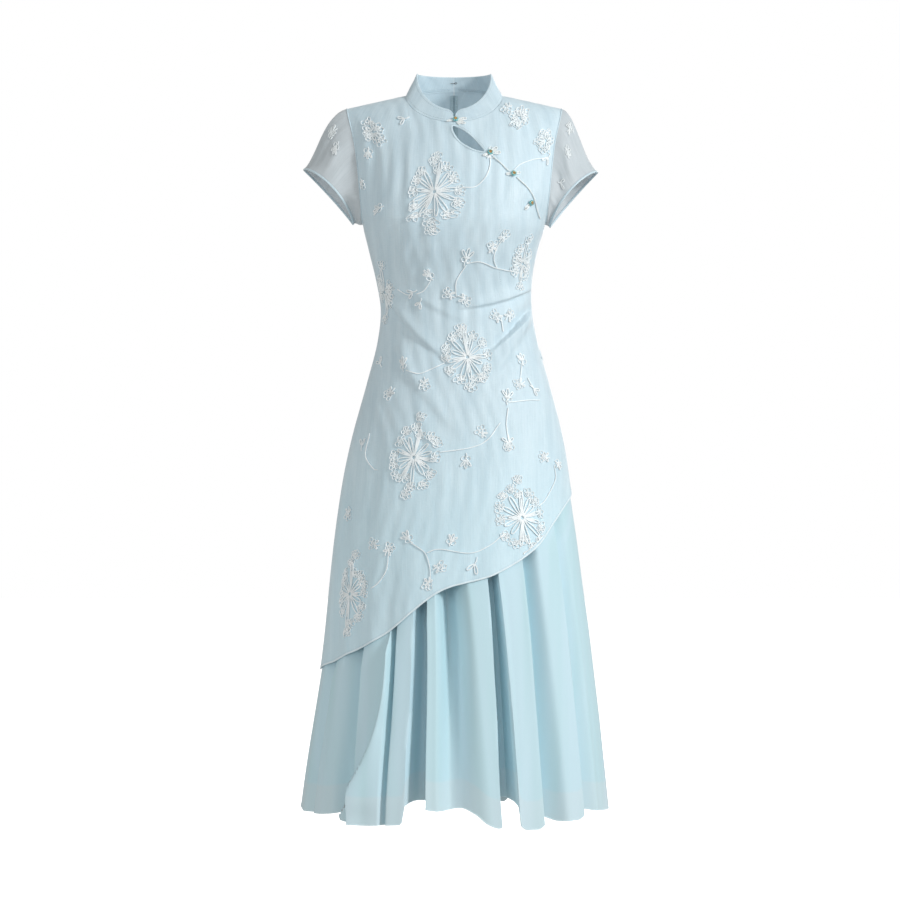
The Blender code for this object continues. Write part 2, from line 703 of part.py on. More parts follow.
def fold_inset(angle, z, folds):
    """How far the skirt's troughs draw it in at an angle round and a height."""
    f = table(folds, FOLD_COLUMNS)
    overlay = -0.72
    down = np.clip((overlay - z) / (overlay - SKIRT_HEM), 0, 1)[..., None]
    centre = np.radians(f["angle"] + (f["hem_angle"] - f["angle"]) * down)
    depth = f["depth"] + (f["hem_depth"] - f["depth"]) * down
    started = np.clip((SKIRT_TOP - z) / (SKIRT_TOP - overlay), 0, 1)[..., None] ** 0.8
    shape = np.exp(-(((angle[..., None] - centre) / np.radians(f["spread"])) ** 2))
    return (depth * shape * started).sum(axis=-1)


def skirt_inset(z):
    """How far the underskirt hangs inside the overlay's outer face."""
    heights = (SKIRT_TOP, SKIRT_TOP - 0.04, -0.62, -0.90, -1.00, SKIRT_HEM - 0.02)
    insets = (0.0020, 0.0040, 0.0030, 0.0030, 0.0010, 0.0)
    return smooth(z, heights, insets)


def skirt_columns(folds, steps=3):
    """Angles that follow the folds: troughs and the ridges between them, with steps in between."""
    troughs = np.radians([row[1] for row in folds])
    keys = [-math.pi / 2]
    for i, trough in enumerate(troughs):
        keys += [trough] if i == 0 else [(troughs[i - 1] + trough) / 2, trough]
    keys.append(math.pi / 2)
    columns = [keys[0]]
    for a, b in zip(keys[:-1], keys[1:]):
        columns += [a + (b - a) * k / steps for k in range(1, steps + 1)]
    return np.array(columns)


def skirt_points(angle, face, folds, hem, rows):
    """Outer points of half of the underskirt, its top row first."""
    shares = np.linspace(0, 1, rows + 1)[:, None] ** 0.9
    turns, heights = zip(*hem)
    z = SKIRT_TOP + (smooth(np.degrees(angle), turns, heights) - SKIRT_TOP) * shares
    points = on_body(np.broadcast_to(angle / (math.pi / 2), z.shape), z, face)
    inset = fold_inset(np.broadcast_to(angle, z.shape), z, folds)
    inset = inset * np.clip((math.pi / 2 - np.abs(angle)) / 0.2, 0, 1) + skirt_inset(z)
    points = points - outward(points) * inset[..., None]
    points[:, [0, -1], 1] = face * SEAM / 2
    return points


def make_skirt(name, face, folds, hem):
    points = skirt_points(skirt_columns(folds), face, folds, hem, rows=11)
    wall(name, points, CLOTH, "chiffon", keep=behind(face))


def tube(name, path, up, radius, material, sides=5, closed=False):
    """A round cord along a path. up is a direction at each point that isn't along the path."""
    ahead = np.roll(path, -1, axis=0) - np.roll(path, 1, axis=0)
    if not closed:
        ahead[0], ahead[-1] = path[1] - path[0], path[-1] - path[-2]
    ahead /= np.linalg.norm(ahead, axis=1, keepdims=True)
    across = np.cross(ahead, up)
    across /= np.linalg.norm(across, axis=1, keepdims=True)
    above = np.cross(across, ahead)
    turn = np.arange(sides) * 2 * math.pi / sides
    ring = np.cos(turn)[:, None, None] * across + np.sin(turn)[:, None, None] * above
    points = (path + radius * ring).transpose(1, 0, 2).reshape(-1, 3)
    n = len(path)
    faces = []
    for i in range(n if closed else n - 1):
        here, there = i * sides, (i + 1) % n * sides
        for k in range(sides):
            faces.append((here + k, here + (k + 1) % sides, there + (k + 1) % sides, there + k))
    if not closed:
        faces += [tuple(range(sides))[::-1], tuple((n - 1) * sides + k for k in range(sides))]
    return mesh_object(name, points, faces, material)


def stack(name, rings, material):
    """A closed solid through rings of points, one above the other."""
    n = len(rings[0])
    faces = [tuple(range(n)), tuple((len(rings) - 1) * n + k for k in range(n))[::-1]]
    for i in range(len(rings) - 1):
        for k in range(n):
            a, b = i * n + k, i * n + (k + 1) % n
            faces.append((b, a, a + n, b + n))
    return mesh_object(name, np.concatenate(rings), faces, material)


def make_petal(name, x, z, degrees, length, width):
    """A padded petal of cord laid on the front: a drop shape with its point at the bead."""
    turn = np.arange(12) * 2 * math.pi / 12
    a = math.radians(degrees)
    rings = []
    for size, lift in ((0.85, 0), (1.0, 0.45), (0.55, 1.0)):
        along = (1 - np.cos(turn)) / 2
        across = size * width / 2 * np.sin(turn) * (0.35 + 0.65 * along)
        along = PETAL_START + (length - PETAL_START) * (0.5 + (along - 0.5) * (0.7 + 0.3 * size))
        px = x + along * math.cos(a) - across * math.sin(a)
        pz = z + along * math.sin(a) + across * math.cos(a)
        points, up = on_front(px, pz)
        rings.append(points + up * (LAID_ON + PETAL_CLOTH * lift))
    stack(name, rings, "cord")


def dome(name, centre, up, radius, height, material, sides=12):
    """A round bead with a flat base, standing on centre along up."""
    side = np.cross(up, (0, 0, 1.0))
    side /= np.linalg.norm(side)
    other = np.cross(up, side)
    turn = np.arange(sides) * 2 * math.pi / sides
    ring = np.cos(turn)[:, None] * side + np.sin(turn)[:, None] * other
    profile = ((0.86, 0), (1, 0.3), (0.84, 0.72), (0.42, 1))
    stack(name, [centre + ring * radius * r + up * height * h for r, h in profile], material)


def make_frogs():
    for name, (x, z, petals) in FROGS.items():
        point, up = on_front(x, z)
        dome(f"bead_{name}", point + up * BEAD_LIFT, up, BEAD_RADIUS, BEAD_HEIGHT, "bead")
        eye = point + up * (BEAD_LIFT + BEAD_HEIGHT + SEAM)
        dome(f"bead_{name}_eye", eye, up, BEAD_EYE_RADIUS, BEAD_EYE_HEIGHT, "bead_eye", 8)
        for i, petal in enumerate(petals):
            make_petal(f"frog_{name}_{i + 1}", x, z, *petal)


def make_piping():
    """The corded edge of the slanting closing, from the keyhole to the side seam."""
    for name, route in PIPING.items():
        x, z = np.array(route).T
        at = np.arange(len(route))
        fine = np.linspace(0, at[-1], 4 * at[-1] + 1)
        points, up = on_front(smooth(fine, at, x), smooth(fine, at, z))
        tube(name, points + up * (PIPING_CORD + LAID_ON), up, PIPING_CORD, "cord", 5)


def make_zip_tape(back_points):
    """The zip's tape inside the centre back, along the back panels' own rows."""
    centre, beside_it = back_points[:, 0], back_points[:, 1]
    share = ZIP_HALF_WIDTH / abs(beside_it[:, 0:1])
    edge = centre + (beside_it - centre) * share
    rows = (centre[:, 2] > ZIP_BOTTOM) & (centre[:, 2] < ZIP_TOP)
    grid = [np.stack([s * ZIP_HALF_WIDTH + 0 * edge[:, 0], edge[:, 1], edge[:, 2]], axis=1)
            for s in (-1, 1)]
    middle = centre * (0, 1, 1)
    grid = np.stack([grid[0], middle, grid[1]], axis=1)[rows]
    away = normals(grid)
    away = np.where(away[..., 1:2] < 0, -away, away)
    outer = grid - away * (CLOTH + 2 * SEAM)
    solid("zip_tape", outer, outer - away * ZIP_CLOTH, "tape")


def place_on_back(back_points, z):
    """A point of the centre back at height z, the way down along it and the way out of it."""
    line = back_points[:, 0, 1:]
    i = int(np.searchsorted(line[:, 1], z))
    down = line[i - 1] - line[i]
    down = np.array([0, *(down / np.linalg.norm(down))])
    y = np.interp(z, line[:, 1], line[:, 0])
    return np.array([0, y, z]), down, np.array([0, -down[2], down[1]])


def block(name, centre, axes, half, material):
    corners = [np.array((a, b)) for a, b in ((-1, -1), (1, -1), (1, 1), (-1, 1))]
    rings = []
    for h in (-1, -0.4, 1):
        size = np.array(half[:2]) * (0.82 if h == 1 else 1)
        flat = [centre + axes[0] * c[0] * size[0] + axes[1] * c[1] * size[1] for c in corners]
        rings.append(np.array(flat) + axes[2] * half[2] * h)
    return stack(name, rings, material)


def make_slider(back_points):
    """The zip's slider on the outside, with the bail that its pull hangs from, and the pull."""
    point, down, out = place_on_back(back_points, SLIDER_HEIGHT)
    across = np.array([1.0, 0, 0])
    centre = point + out * (LAID_ON + SLIDER_HALF[2])
    block("zip_slider", centre, (across, down, out), SLIDER_HALF, "metal")
    top = centre + out * SLIDER_HALF[2]
    turn = np.linspace(0, math.pi, 9)[:, None]
    path = top + down * BAIL_RADIUS * np.cos(turn) + out * (SEAM + BAIL_RADIUS * np.sin(turn))
    tube("zip_bail", path, np.tile(across, (9, 1)), BAIL_WIRE, "metal", 6)
    make_pull(top + out * PULL_PIVOT, back_points)


def make_pull(pivot, back_points):
    """The pull, lying on the back. It is a plate with a hole, and its top bar is the hinge."""
    length = PULL_OUTLINE[-1][1] / 1000
    lines = []
    for z in np.linspace(pivot[2] - 0.5 * length, pivot[2] - length, 60):
        point, down, out = place_on_back(back_points, z)
        lines.append(point + out * PULL_LIFT)
    lines = np.array(lines)
    rest = lines[np.abs(np.linalg.norm(lines - pivot, axis=1) - length).argmin()]
    along = (rest - pivot) / np.linalg.norm(rest - pivot)
    out = np.array([0, -along[2], along[1]])
    rings = []
    for outline in (PULL_HOLE, PULL_OUTLINE):
        right = np.array(outline) / 1000
        ring = np.concatenate([right, right[-2:0:-1] * (-1, 1)])
        rings.append(ring[:, :1] * (1, 0, 0) + ring[:, 1:] * along)
    grid = np.array(rings)
    half = out * PULL_CLOTH / 2
    pull = solid("zip_pull", grid + half, grid - half, "metal", closed=True)
    pull.location = pivot


def make_hook_and_eye():
    """A wire hook through its eye, inside the collar's ends at the centre back."""
    seam = on_body(np.zeros(1), np.full(1, NECK_BACK_RISE), BACK)[0]
    top = collar_top(np.array([math.pi]))[0]
    up = (top - seam) / np.linalg.norm(top - seam)
    inward = np.array([0, -up[2], up[1]])
    share = (HOOK_HEIGHT - seam[2]) / (top[2] - seam[2])
    face = (seam + (top - seam) * share) * (0, 1, 1) + inward * (COLLAR_CLOTH + SEAM)
    turn = np.arange(12)[:, None] * 2 * math.pi / 12
    flat = face + inward * (2 * HOOK_WIRE + SEAM / 2)
    ring = flat + np.array([1.0, 0, 0]) * (EYE_PLACE + EYE_HALF[0] * np.cos(turn))
    ring = ring + up * EYE_HALF[1] * np.sin(turn)
    tube("eye", ring, np.tile(inward, (12, 1)), HOOK_WIRE, "metal", 5, closed=True)
    path = [face + np.array([x, 0, 0]) + inward * (deep + SEAM) for x, deep in HOOK_PATH]
    tube("hook", np.array(path), np.tile(up, (len(path), 1)), HOOK_WIRE, "metal", 5)


def clear_scene():
    for piece in list(bpy.data.objects):
        bpy.data.objects.remove(piece)


def main():
    clear_scene()
    front_points = make_front()
    back_left = make_back("back_left", 1)
    back_right = make_back("back_right", -1)
    make_keyhole_binding()
    make_collar("collar_left", 1, front_points, back_left)
    make_collar("collar_right", -1, front_points, back_right)
    make_sleeve("sleeve_left", front_points, back_left)
    make_sleeve("sleeve_right", front_points, back_right)
    make_overlay_hem("overlay_hem_front", FRONT, front_columns()[0])
    make_overlay_hem("overlay_hem_back_left", BACK, back_columns(1)[0], 1)
    make_overlay_hem("overlay_hem_back_right", BACK, back_columns(-1)[0], -1)
    make_skirt("skirt_front", FRONT, FRONT_FOLDS, FRONT_HEM)
    make_skirt("skirt_back", BACK, BACK_FOLDS, BACK_HEM)
    make_frogs()
    make_piping()
    make_zip_tape(back_left)
    make_slider(back_left)
    make_hook_and_eye()


main()
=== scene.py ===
"""Looks of the pale blue a-line dress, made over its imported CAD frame.

Metres. +Z is up, the front faces -Y and the wearer's left is +X. Every piece is a surface worked
out from the same sections, hems and folds as the part's own source, on a finer grid.
"""

import math

import bpy
import numpy as np
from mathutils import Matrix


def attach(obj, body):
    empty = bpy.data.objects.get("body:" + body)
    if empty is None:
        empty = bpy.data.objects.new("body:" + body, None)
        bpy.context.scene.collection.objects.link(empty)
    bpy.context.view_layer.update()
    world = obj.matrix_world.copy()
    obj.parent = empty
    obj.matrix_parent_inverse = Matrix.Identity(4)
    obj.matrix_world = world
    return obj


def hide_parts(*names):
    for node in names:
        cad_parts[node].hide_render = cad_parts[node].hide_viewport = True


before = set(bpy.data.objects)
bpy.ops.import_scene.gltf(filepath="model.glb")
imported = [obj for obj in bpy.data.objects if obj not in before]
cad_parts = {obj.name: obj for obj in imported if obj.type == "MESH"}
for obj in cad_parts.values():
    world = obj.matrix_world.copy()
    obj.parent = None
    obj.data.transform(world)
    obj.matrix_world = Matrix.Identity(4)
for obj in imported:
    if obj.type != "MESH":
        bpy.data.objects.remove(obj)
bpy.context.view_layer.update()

# Cloth, seams and lengths, as in the part.
CLOTH = 0.0012
COLLAR_CLOTH = 0.0018
SHEER_CLOTH = 0.0010
SEAM = 0.0003
LAID_ON = 0.0004
FRONT, BACK = -1, 1
SHOULDER_DROP = 0.224
ARMHOLE_WIDEST = -0.155
UNDERARM = -0.205
HIP = -0.560
SKIRT_TOP = -0.500
SKIRT_HEM = -1.150
NECK_HALF_WIDTH = 0.0775
NECK_FRONT_DROP = 0.050
NECK_BACK_RISE = 0.0136
NAPE_FULLNESS = 0.075
COLLAR_HALF_WIDTH = 0.0595
COLLAR_FRONT = -0.062
COLLAR_BACK = 0.046
COLLAR_RISE = 0.0358
COLLAR_FRONT_RISE = -0.029
COLLAR_ROUNDING = 0.012
COLLAR_SPLIT = 0.0018
ARMHOLE_ANGLE = math.radians(62)

# Level sections of the body: half width, depth in front and behind, how square the oval is.
SECTION_COLUMNS = ("height", "width", "front", "back", "squareness")
SECTIONS = (
    (0.030, 0.1800, 0.088, 0.074, 2.0),
    (-0.024, 0.1710, 0.092, 0.084, 2.0),
    (-0.082, 0.1584, 0.102, 0.096, 2.0),
    (-0.155, 0.1500, 0.117, 0.100, 2.1),
    (-0.187, 0.1470, 0.121, 0.099, 2.3),
    (-0.205, 0.1456, 0.122, 0.097, 2.5),
    (-0.246, 0.1352, 0.115, 0.090, 2.3),
    (-0.290, 0.1256, 0.100, 0.082, 2.1),
    (-0.342, 0.1208, 0.090, 0.079, 2.1),
    (-0.390, 0.1270, 0.091, 0.086, 2.1),
    (-0.454, 0.1440, 0.102, 0.103, 2.1),
    (-0.550, 0.1694, 0.120, 0.126, 2.1),
    (-0.678, 0.1908, 0.141, 0.145, 2.1),
    (-0.806, 0.2070, 0.160, 0.162, 2.1),
    (-0.966, 0.2256, 0.180, 0.183, 2.1),
    (-1.126, 0.2450, 0.202, 0.205, 2.1),
    (-1.160, 0.2486, 0.206, 0.209, 2.1),
)
# How far the whole dress leans to the wearer's left: height, distance.
SWAY = (
    (0.050, 0),
    (-0.205, 0),
    (-0.250, -0.0014),
    (-0.300, 0.0004),
    (-0.342, 0.0036),
    (-0.400, 0.0056),
    (-0.550, 0.0054),
    (-0.620, 0.0036),
    (-0.750, 0.0042),
    (-0.870, 0.0064),
    (-0.970, 0.0050),
    (-1.060, 0.0026),
    (-1.160, 0.0008),
)

# The overlay's slanting edge: degrees round from the centre front, height.
OVERLAY_HEM = (
    (-90, -0.915),
    (-60, -0.892),
    (-32, -0.851),
    (-6, -0.782),
    (15, -0.759),
    (37, -0.720),
    (60, -0.664),
    (90, -0.628),
)
HEM_ROLL = (0.0015, 0.0011)

# Creases, each along a curve through three guiding points from its deep end. The cloth above it
# stands up by high and the cloth below is drawn in by deep, over these widths. Where both are
# less than nothing, the lower side stands up instead.
CREASE_COLUMNS = ("x0", "z0", "x1", "z1", "x2", "z2", "high", "deep", "over", "under", "turn")
FRONT_CREASES = (
    (0.124, -0.310, 0.078, -0.338, 0.004, -0.346, 0.0054, 0.0040, 0.012, 0.010, 0.0012),
    (0.124, -0.338, 0.096, -0.376, 0.046, -0.416, -0.0075, -0.0070, 0.010, 0.013, 0.0006),
    (0.110, -0.372, 0.082, -0.424, 0.030, -0.482, 0.0034, 0.0016, 0.014, 0.016, 0.0050),
    (-0.100, -0.340, -0.064, -0.402, 0.004, -0.438, 0.0048, 0.0026, 0.014, 0.016, 0.0034),
    (-0.060, -0.328, -0.030, -0.352, 0.016, -0.366, 0.0020, 0.0012, 0.010, 0.012, 0.0050),
    (-0.092, -0.420, -0.056, -0.492, 0.004, -0.548, 0.0040, 0.0022, 0.016, 0.018, 0.0055),
    (-0.080, -0.452, -0.050, -0.560, -0.020, -0.640, 0.0028, 0.0014, 0.014, 0.016, 0.0065),
)
BACK_CREASES = (
    (0.112, -0.320, 0.070, -0.345, 0.020, -0.352, 0.0030, 0.0014, 0.012, 0.012, 0.0030),
    (0.112, -0.346, 0.078, -0.392, 0.030, -0.418, 0.0034, 0.0016, 0.014, 0.014, 0.0040),
    (-0.112, -0.326, -0.072, -0.350, -0.020, -0.358, 0.0030, 0.0014, 0.012, 0.012, 0.0030),
    (-0.112, -0.350, -0.080, -0.400, -0.030, -0.432, 0.0034, 0.0016, 0.014, 0.014, 0.0040),
    (-0.104, -0.430, -0.070, -0.500, -0.024, -0.560, 0.0026, 0.0012, 0.016, 0.018, 0.0060),
    (0.100, -0.440, 0.068, -0.520, 0.030, -0.590, 0.0026, 0.0012, 0.016, 0.018, 0.0060),
)
# Darts: a stitched groove from its point down, as x, z at the top, middle and bottom.
DART_GROOVE = (0.0008, 0.0016)
FRONT_DARTS = (
    ((-0.084, -0.204), (-0.080, -0.262), (-0.073, -0.345)),
    ((0.074, -0.204), (0.070, -0.240), (0.073, -0.312)),
)
BACK_DARTS = (
    ((-0.078, -0.210), (-0.066, -0.320), (-0.070, -0.430)),
    ((0.078, -0.210), (0.066, -0.320), (0.070, -0.430)),
)
# Soft upright flutes of the overlay: degrees round, height where they start, spread, depth.
FLUTE_COLUMNS = ("angle", "start", "spread", "depth")
FRONT_FLUTES = (
    (-64, -0.46, 7, 0.0040),
    (-46, -0.40, 6, 0.0036),
    (-31, -0.60, 6, 0.0044),
    (-12, -0.66, 5, 0.0034),
    (6, -0.60, 6, 0.0030),
    (26, -0.56, 5, 0.0022),
    (50, -0.48, 6, 0.0026),
)
BACK_FLUTES = (
    (-60, -0.50, 7, 0.0040),
    (-34, -0.55, 6, 0.0042),
    (-12, -0.60, 5, 0.0030),
    (14, -0.58, 6, 0.0034),
    (40, -0.52, 6, 0.0032),
    (64, -0.50, 6, 0.0026),
)

# Troughs of the underskirt. Degrees round of the edge that hangs over each, how far its gentle
# side reaches and how steep the edge is in degrees, how deep it is: each at the overlay and at
# the hem. Then how flat its floor is, how much the edge stands up, and 1 where the edge is on
# the right of the trough or -1 where it is on the left.
FOLD_COLUMNS = ("angle", "hem_angle", "gentle", "hem_gentle", "steep", "hem_steep", "depth",
                "hem_depth", "bend", "roll", "side")
FRONT_FOLDS = (
    (-68, -67, 9, 9, 4, 4, 0.008, 0.014, 1.3, 0.000, 1),
    (-47.5, -40, 13, 13, 1.0, 1.2, 0.018, 0.022, 1.2, 0.001, 1),
    (-28, -25.5, 2.4, 2.4, 1.2, 1.2, 0.024, 0.012, 1.0, 0.000, 1),
    (-14, -10.4, 4.8, 7.4, 0.6, 0.6, 0.034, 0.046, 4.0, 0.002, 1),
    (-6, -1.5, 9.5, 14, 4.0, 5.0, 0.044, 0.027, 1.0, 0.002, -1),
    (16.5, 22, 4.0, 6.0, 0.6, 0.6, 0.032, 0.046, 4.0, 0.002, 1),
    (31, 34, 9, 12, 0.8, 1.0, 0.022, 0.030, 1.1, 0.001, -1),
    (55, 56, 10, 10, 1.5, 2.0, 0.010, 0.018, 1.1, 0.001, -1),
)
BACK_FOLDS = (
    (-66, -67, 9, 9, 3.0, 3.0, 0.010, 0.022, 1.35, 0.000, -1),
    (-46, -48, 12, 12, 0.9, 0.9, 0.018, 0.030, 1.35, 0.002, -1),
    (-28, -27, 10, 10, 0.6, 1.0, 0.026, 0.034, 1.35, 0.002, -1),
    (-9, -10, 13, 13, 0.6, 1.0, 0.026, 0.034, 1.2, 0.002, -1),
    (8, 9, 5, 6, 0.8, 0.8, 0.028, 0.034, 2.2, 0.001, 1),
    (26, 28, 12, 12, 0.6, 1.2, 0.026, 0.034, 1.2, 0.002, 1),
    (45, 46, 11, 11, 0.9, 0.9, 0.020, 0.030, 1.35, 0.002, 1),
    (66, 65, 10, 10, 3.0, 3.0, 0.010, 0.022, 1.35, 0.000, 1),
)
# The underskirt's hem: degrees round from the middle, height.
FRONT_HEM = (
    (-90, -1.131), (-75, -1.136), (-60, -1.134), (-50, -1.130), (-45.6, -1.127),
    (-44.8, -1.137), (-39, -1.142), (-33, -1.143), (-24, -1.1415), (-18.6, -1.140),
    (-17.6, -1.112), (-16.2, -1.107), (-11, -1.107), (-9.6, -1.116), (-4, -1.119),
    (2, -1.116), (7, -1.125), (11, -1.139), (15, -1.145), (16.3, -1.143), (17.4, -1.105),
    (21, -1.103), (22.2, -1.105), (23.2, -1.142),
    (26, -1.149), (30, -1.149), (33.4, -1.141), (35, -1.132), (42, -1.140), (50, -1.140),
    (54.5, -1.133), (56.5, -1.126), (65, -1.131), (80, -1.135), (90, -1.137),
)
BACK_HEM = (
    (-90, -1.131), (-78, -1.144), (-67, -1.136), (-57, -1.148), (-48, -1.132), (-37, -1.150),
    (-27, -1.128), (-18, -1.151), (-10, -1.126), (0, -1.150), (9, -1.132), (18, -1.152),
    (27, -1.127), (37, -1.149), (46, -1.133), (56, -1.148), (65, -1.136), (78, -1.144),
    (90, -1.137),
)
# A turned fold edge of the underskirt: height, degrees round. It stands up by this much over
# this many degrees on its left and right, seen from the front. Below the flap's top it runs out
# into a loose flap, which stands up higher and is wider on its right, by these over the fade.
FOLD_EDGE = ((-0.74, -29), (-0.852, -29.4), (-0.973, -30.4), (-1.02, -33), (-1.09, -40.1),
             (-1.13, -45))
FOLD_EDGE_HIGH = 0.010
FOLD_EDGE_LEFT = 0.9
FOLD_EDGE_RIGHT = 2.0
FLAP_TOP = -0.99
FLAP_FADE = 0.12
FLAP_HIGHER = 0.012
FLAP_WIDER = 9.0
FOLDS_START = -0.72
HEM_BAND = 0.042

# Sleeves: side, x and z of the cuff's outer tip and of its lowest inner point, and how far the
# cap runs on from the shoulder before it bends.
SLEEVES = {
    "sleeve_right": (-1, 0.2425, -0.1185, 0.1620, -0.2065, 0.036),
    "sleeve_left": (1, 0.2300, -0.1225, 0.1545, -0.2110, 0.022),
}
CUFF_HALF_DEPTH = 0.054
CUFF_FRONT_RISE = 0.0135
CUFF_BACK_RISE = 0.0035
CUFF_WIDTH = 0.003

# The keyhole's two ends at x, z on the front, and how far its edges bow.
KEYHOLE_TOP = (-0.0033, -0.0569)
KEYHOLE_END = (0.0469, -0.0990)
KEYHOLE_BOW_LOW = 0.0118
KEYHOLE_BOW_HIGH = 0.0063
KEYHOLE_BINDING = 0.0034
BINDING_OVERLAP = 0.0006
BINDING_HALF_DEPTH = 0.00125

# Buttons at x, z on the front, each with its loops of cord: degrees round, length, width.
BEAD_RADIUS = 0.0048
BEAD_HEIGHT = 0.0036
BEAD_LIFT = 0.0024
FROGS = {
    "neck": (0.0016, -0.0475, ((8, 0.018, 0.0052), (-22, 0.017, 0.0050),
                               (-48, 0.0105, 0.0036), (188, 0.014, 0.0030))),
    "keyhole": (0.0547, -0.1012, ((38, 0.015, 0.0056), (2, 0.017, 0.0060),
                                  (206, 0.012, 0.0040))),
    "upper": (0.0915, -0.1341, ((15, 0.012, 0.0050), (182, 0.011, 0.0046))),
    "lower": (0.1192, -0.1787, ((-128, 0.014, 0.0056),)),
}
PIPING_CORD = 0.0011
PIPING = {
    "piping_upper": ((0.0600, -0.1075), (0.0720, -0.1185), (0.0862, -0.1305)),
    "piping_lower": ((0.0968, -0.1392), (0.1100, -0.1520), (0.1222, -0.1662),
                     (0.1295, -0.1850), (0.1345, -0.2010)),
}
ZIP_BOTTOM = -0.470
ZIP_TOP = 0.008
ZIP_HALF_WIDTH = 0.006
ZIP_CLOTH = 0.0010

# Embroidery, in millimetres on the body: x, z, half width, half height, how far it is turned.
FRONT_BLOOMS = (
    (-31, -164, 43, 66, 4),
    (-110, -316, 20, 50, -10),
    (15, -421, 40, 54, 8),
    (-67, -578, 42, 67, -6),
    (102, -672, 43, 66, 10),
    (-168, -792, 33, 68, 0),
    (108, -272, 22, 44, 6),
    (-128, -64, 19, 25, 30), (103, -42, 17, 21, -20), (142, -78, 15, 21, 10),
)
BACK_BLOOMS = (
    (66, -150, 38, 58, 6),
    (-74, -236, 34, 54, -8),
    (70, -400, 36, 56, -4),
    (-72, -470, 38, 60, 8),
    (96, -640, 42, 64, -8),
    (-62, -690, 40, 64, 4),
    (-160, -800, 34, 62, 0),
)
# Sprigs: x, z, kind, degrees turned, size. A "head" is a cluster of knots on a short stalk, a
# "bud" is three loops on a bar, a "leaf" is a pair of loops.
FRONT_SPRIGS = (
    (-78, -44, "leaf", 200, 0.9), (84, -24, "head", 250, 1.0), (-136, -96, "bud", 260, 0.9),
    (146, -104, "leaf", 240, 0.9), (-117, -187, "bud", 200, 1.0), (-146, -146, "head", 270, 0.9),
    (55, -104, "bud", 60, 0.9), (54, -104, "head", 120, 0.7),
    (20, -268, "bud", 80, 1.3), (61, -250, "head", 110, 1.1), (78, -233, "head", 60, 1.0),
    (-38, -294, "bud", 130, 0.9), (-66, -318, "leaf", 200, 0.9), (-56, -334, "leaf", 240, 0.8),
    (-9, -322, "head", 150, 1.1), (13, -330, "head", 330, 1.2), (63, -357, "head", 140, 1.2),
    (82, -355, "head", 40, 1.2),
    (97, -462, "head", 200, 1.2), (101, -426, "bud", 95, 0.9), (118, -470, "leaf", 320, 0.9),
    (77, -486, "bud", 80, 1.2), (79, -556, "head", 270, 1.6), (39, -540, "head", 130, 1.0),
    (14, -581, "bud", 270, 1.1), (-172, -666, "head", 270, 1.2), (-74, -704, "bud", 140, 1.1),
    (-45, -772, "head", 260, 1.1), (-28, -749, "head", 20, 1.1), (-8, -708, "bud", 70, 0.9),
    (28, -742, "leaf", 250, 1.2), (-128, -713, "head", 170, 1.2), (-106, -722, "head", 60, 1.2),
    (138, -577, "head", 170, 1.2), (158, -588, "bud", 330, 0.9), (-122, -430, "leaf", 140, 0.9),
    (-85, -434, "bud", 100, 1.1), (-52, -462, "head", 280, 1.1), (-107, -476, "head", 220, 1.2),
    (-150, -560, "leaf", 100, 0.9), (150, -418, "head", 90, 0.6),
)
BACK_SPRIGS = (
    (140, -62, "head", 240, 1.3), (96, -40, "bud", 250, 1.0), (-138, -60, "head", 260, 1.3),
    (-92, -44, "leaf", 250, 1.0), (-40, -20, "head", 250, 0.9), (44, -18, "bud", 270, 0.9),
    (-40, -120, "bud", 80, 1.1), (-112, -150, "head", 200, 1.1), (26, -236, "head", 250, 1.1),
    (110, -260, "bud", 60, 1.1), (60, -290, "head", 120, 1.0), (-110, -330, "head", 180, 1.1),
    (-40, -350, "bud", 250, 1.0), (24, -330, "leaf", 80, 0.9), (118, -420, "head", 80, 1.1),
    (-130, -440, "bud", 140, 1.0), (-22, -430, "head", 280, 1.0), (26, -500, "bud", 90, 1.1),
    (130, -540, "head", 60, 1.2), (-130, -580, "head", 200, 1.2), (-30, -590, "bud", 60, 1.0),
    (44, -600, "head", 250, 1.1), (20, -690, "leaf", 270, 1.1), (156, -620, "bud", 300, 1.0),
    (-130, -700, "head", 100, 1.2), (-100, -820, "bud", 240, 1.1), (-20, -770, "head", 270, 1.0),
    (-190, -700, "head", 110, 1.0),
)
FRONT_VINES = (
    ((11, -157), (32, -156), (47, -142), (55, -121), (54, -105)),
    ((143, -106), (122, -110), (102, -119), (90, -131)),
    ((20, -275), (41, -272), (68, -281), (104, -287)),
    ((68, -281), (63, -268), (66, -254), (78, -235)),
    ((20, -277), (4, -300), (1, -319), (2, -326)),
    ((-80, -441), (-61, -447), (-42, -440), (-20, -430)),
    ((68, -354), (70, -366), (72, -380)),
    ((101, -428), (99, -444), (97, -460)),
    ((77, -492), (95, -490), (112, -488), (128, -488)),
    ((66, -524), (46, -551), (20, -563), (-27, -570)),
    ((78, -500), (76, -526), (79, -551)),
    ((109, -453), (113, -461), (118, -469)),
    ((-138, -540), (-144, -574), (-133, -595), (-124, -598)),
    ((-71, -710), (-49, -726), (-42, -747), (-41, -767)),
    ((-46, -726), (-26, -720), (21, -726), (52, -714), (75, -695)),
    ((-106, -724), (-110, -753), (-123, -773), (-134, -782)),
    ((153, -590), (155, -614), (139, -645), (128, -654)),
    ((-60, -322), (-48, -316), (-36, -300)),
    ((-90, -313), (-76, -322), (-66, -320)),
)
BACK_VINES = (
    ((66, -170), (50, -206), (34, -226), (26, -236)),
    ((-50, -122), (-66, -150), (-74, -190), (-74, -230)),
    ((100, -262), (84, -300), (74, -340), (70, -390)),
    ((-72, -250), (-96, -290), (-108, -326)),
    ((70, -420), (50, -450), (34, -478), (26, -496)),
    ((-60, -470), (-40, -456), (-22, -434)),
    ((96, -610), (116, -580), (130, -544)),
    ((84, -640), (60, -626), (46, -604)),
    ((-80, -680), (-110, -690), (-130, -698)),
    ((-62, -720), (-44, -750), (-22, -766)),
    ((-100, -700), (-140, -730), (-156, -770)),
)
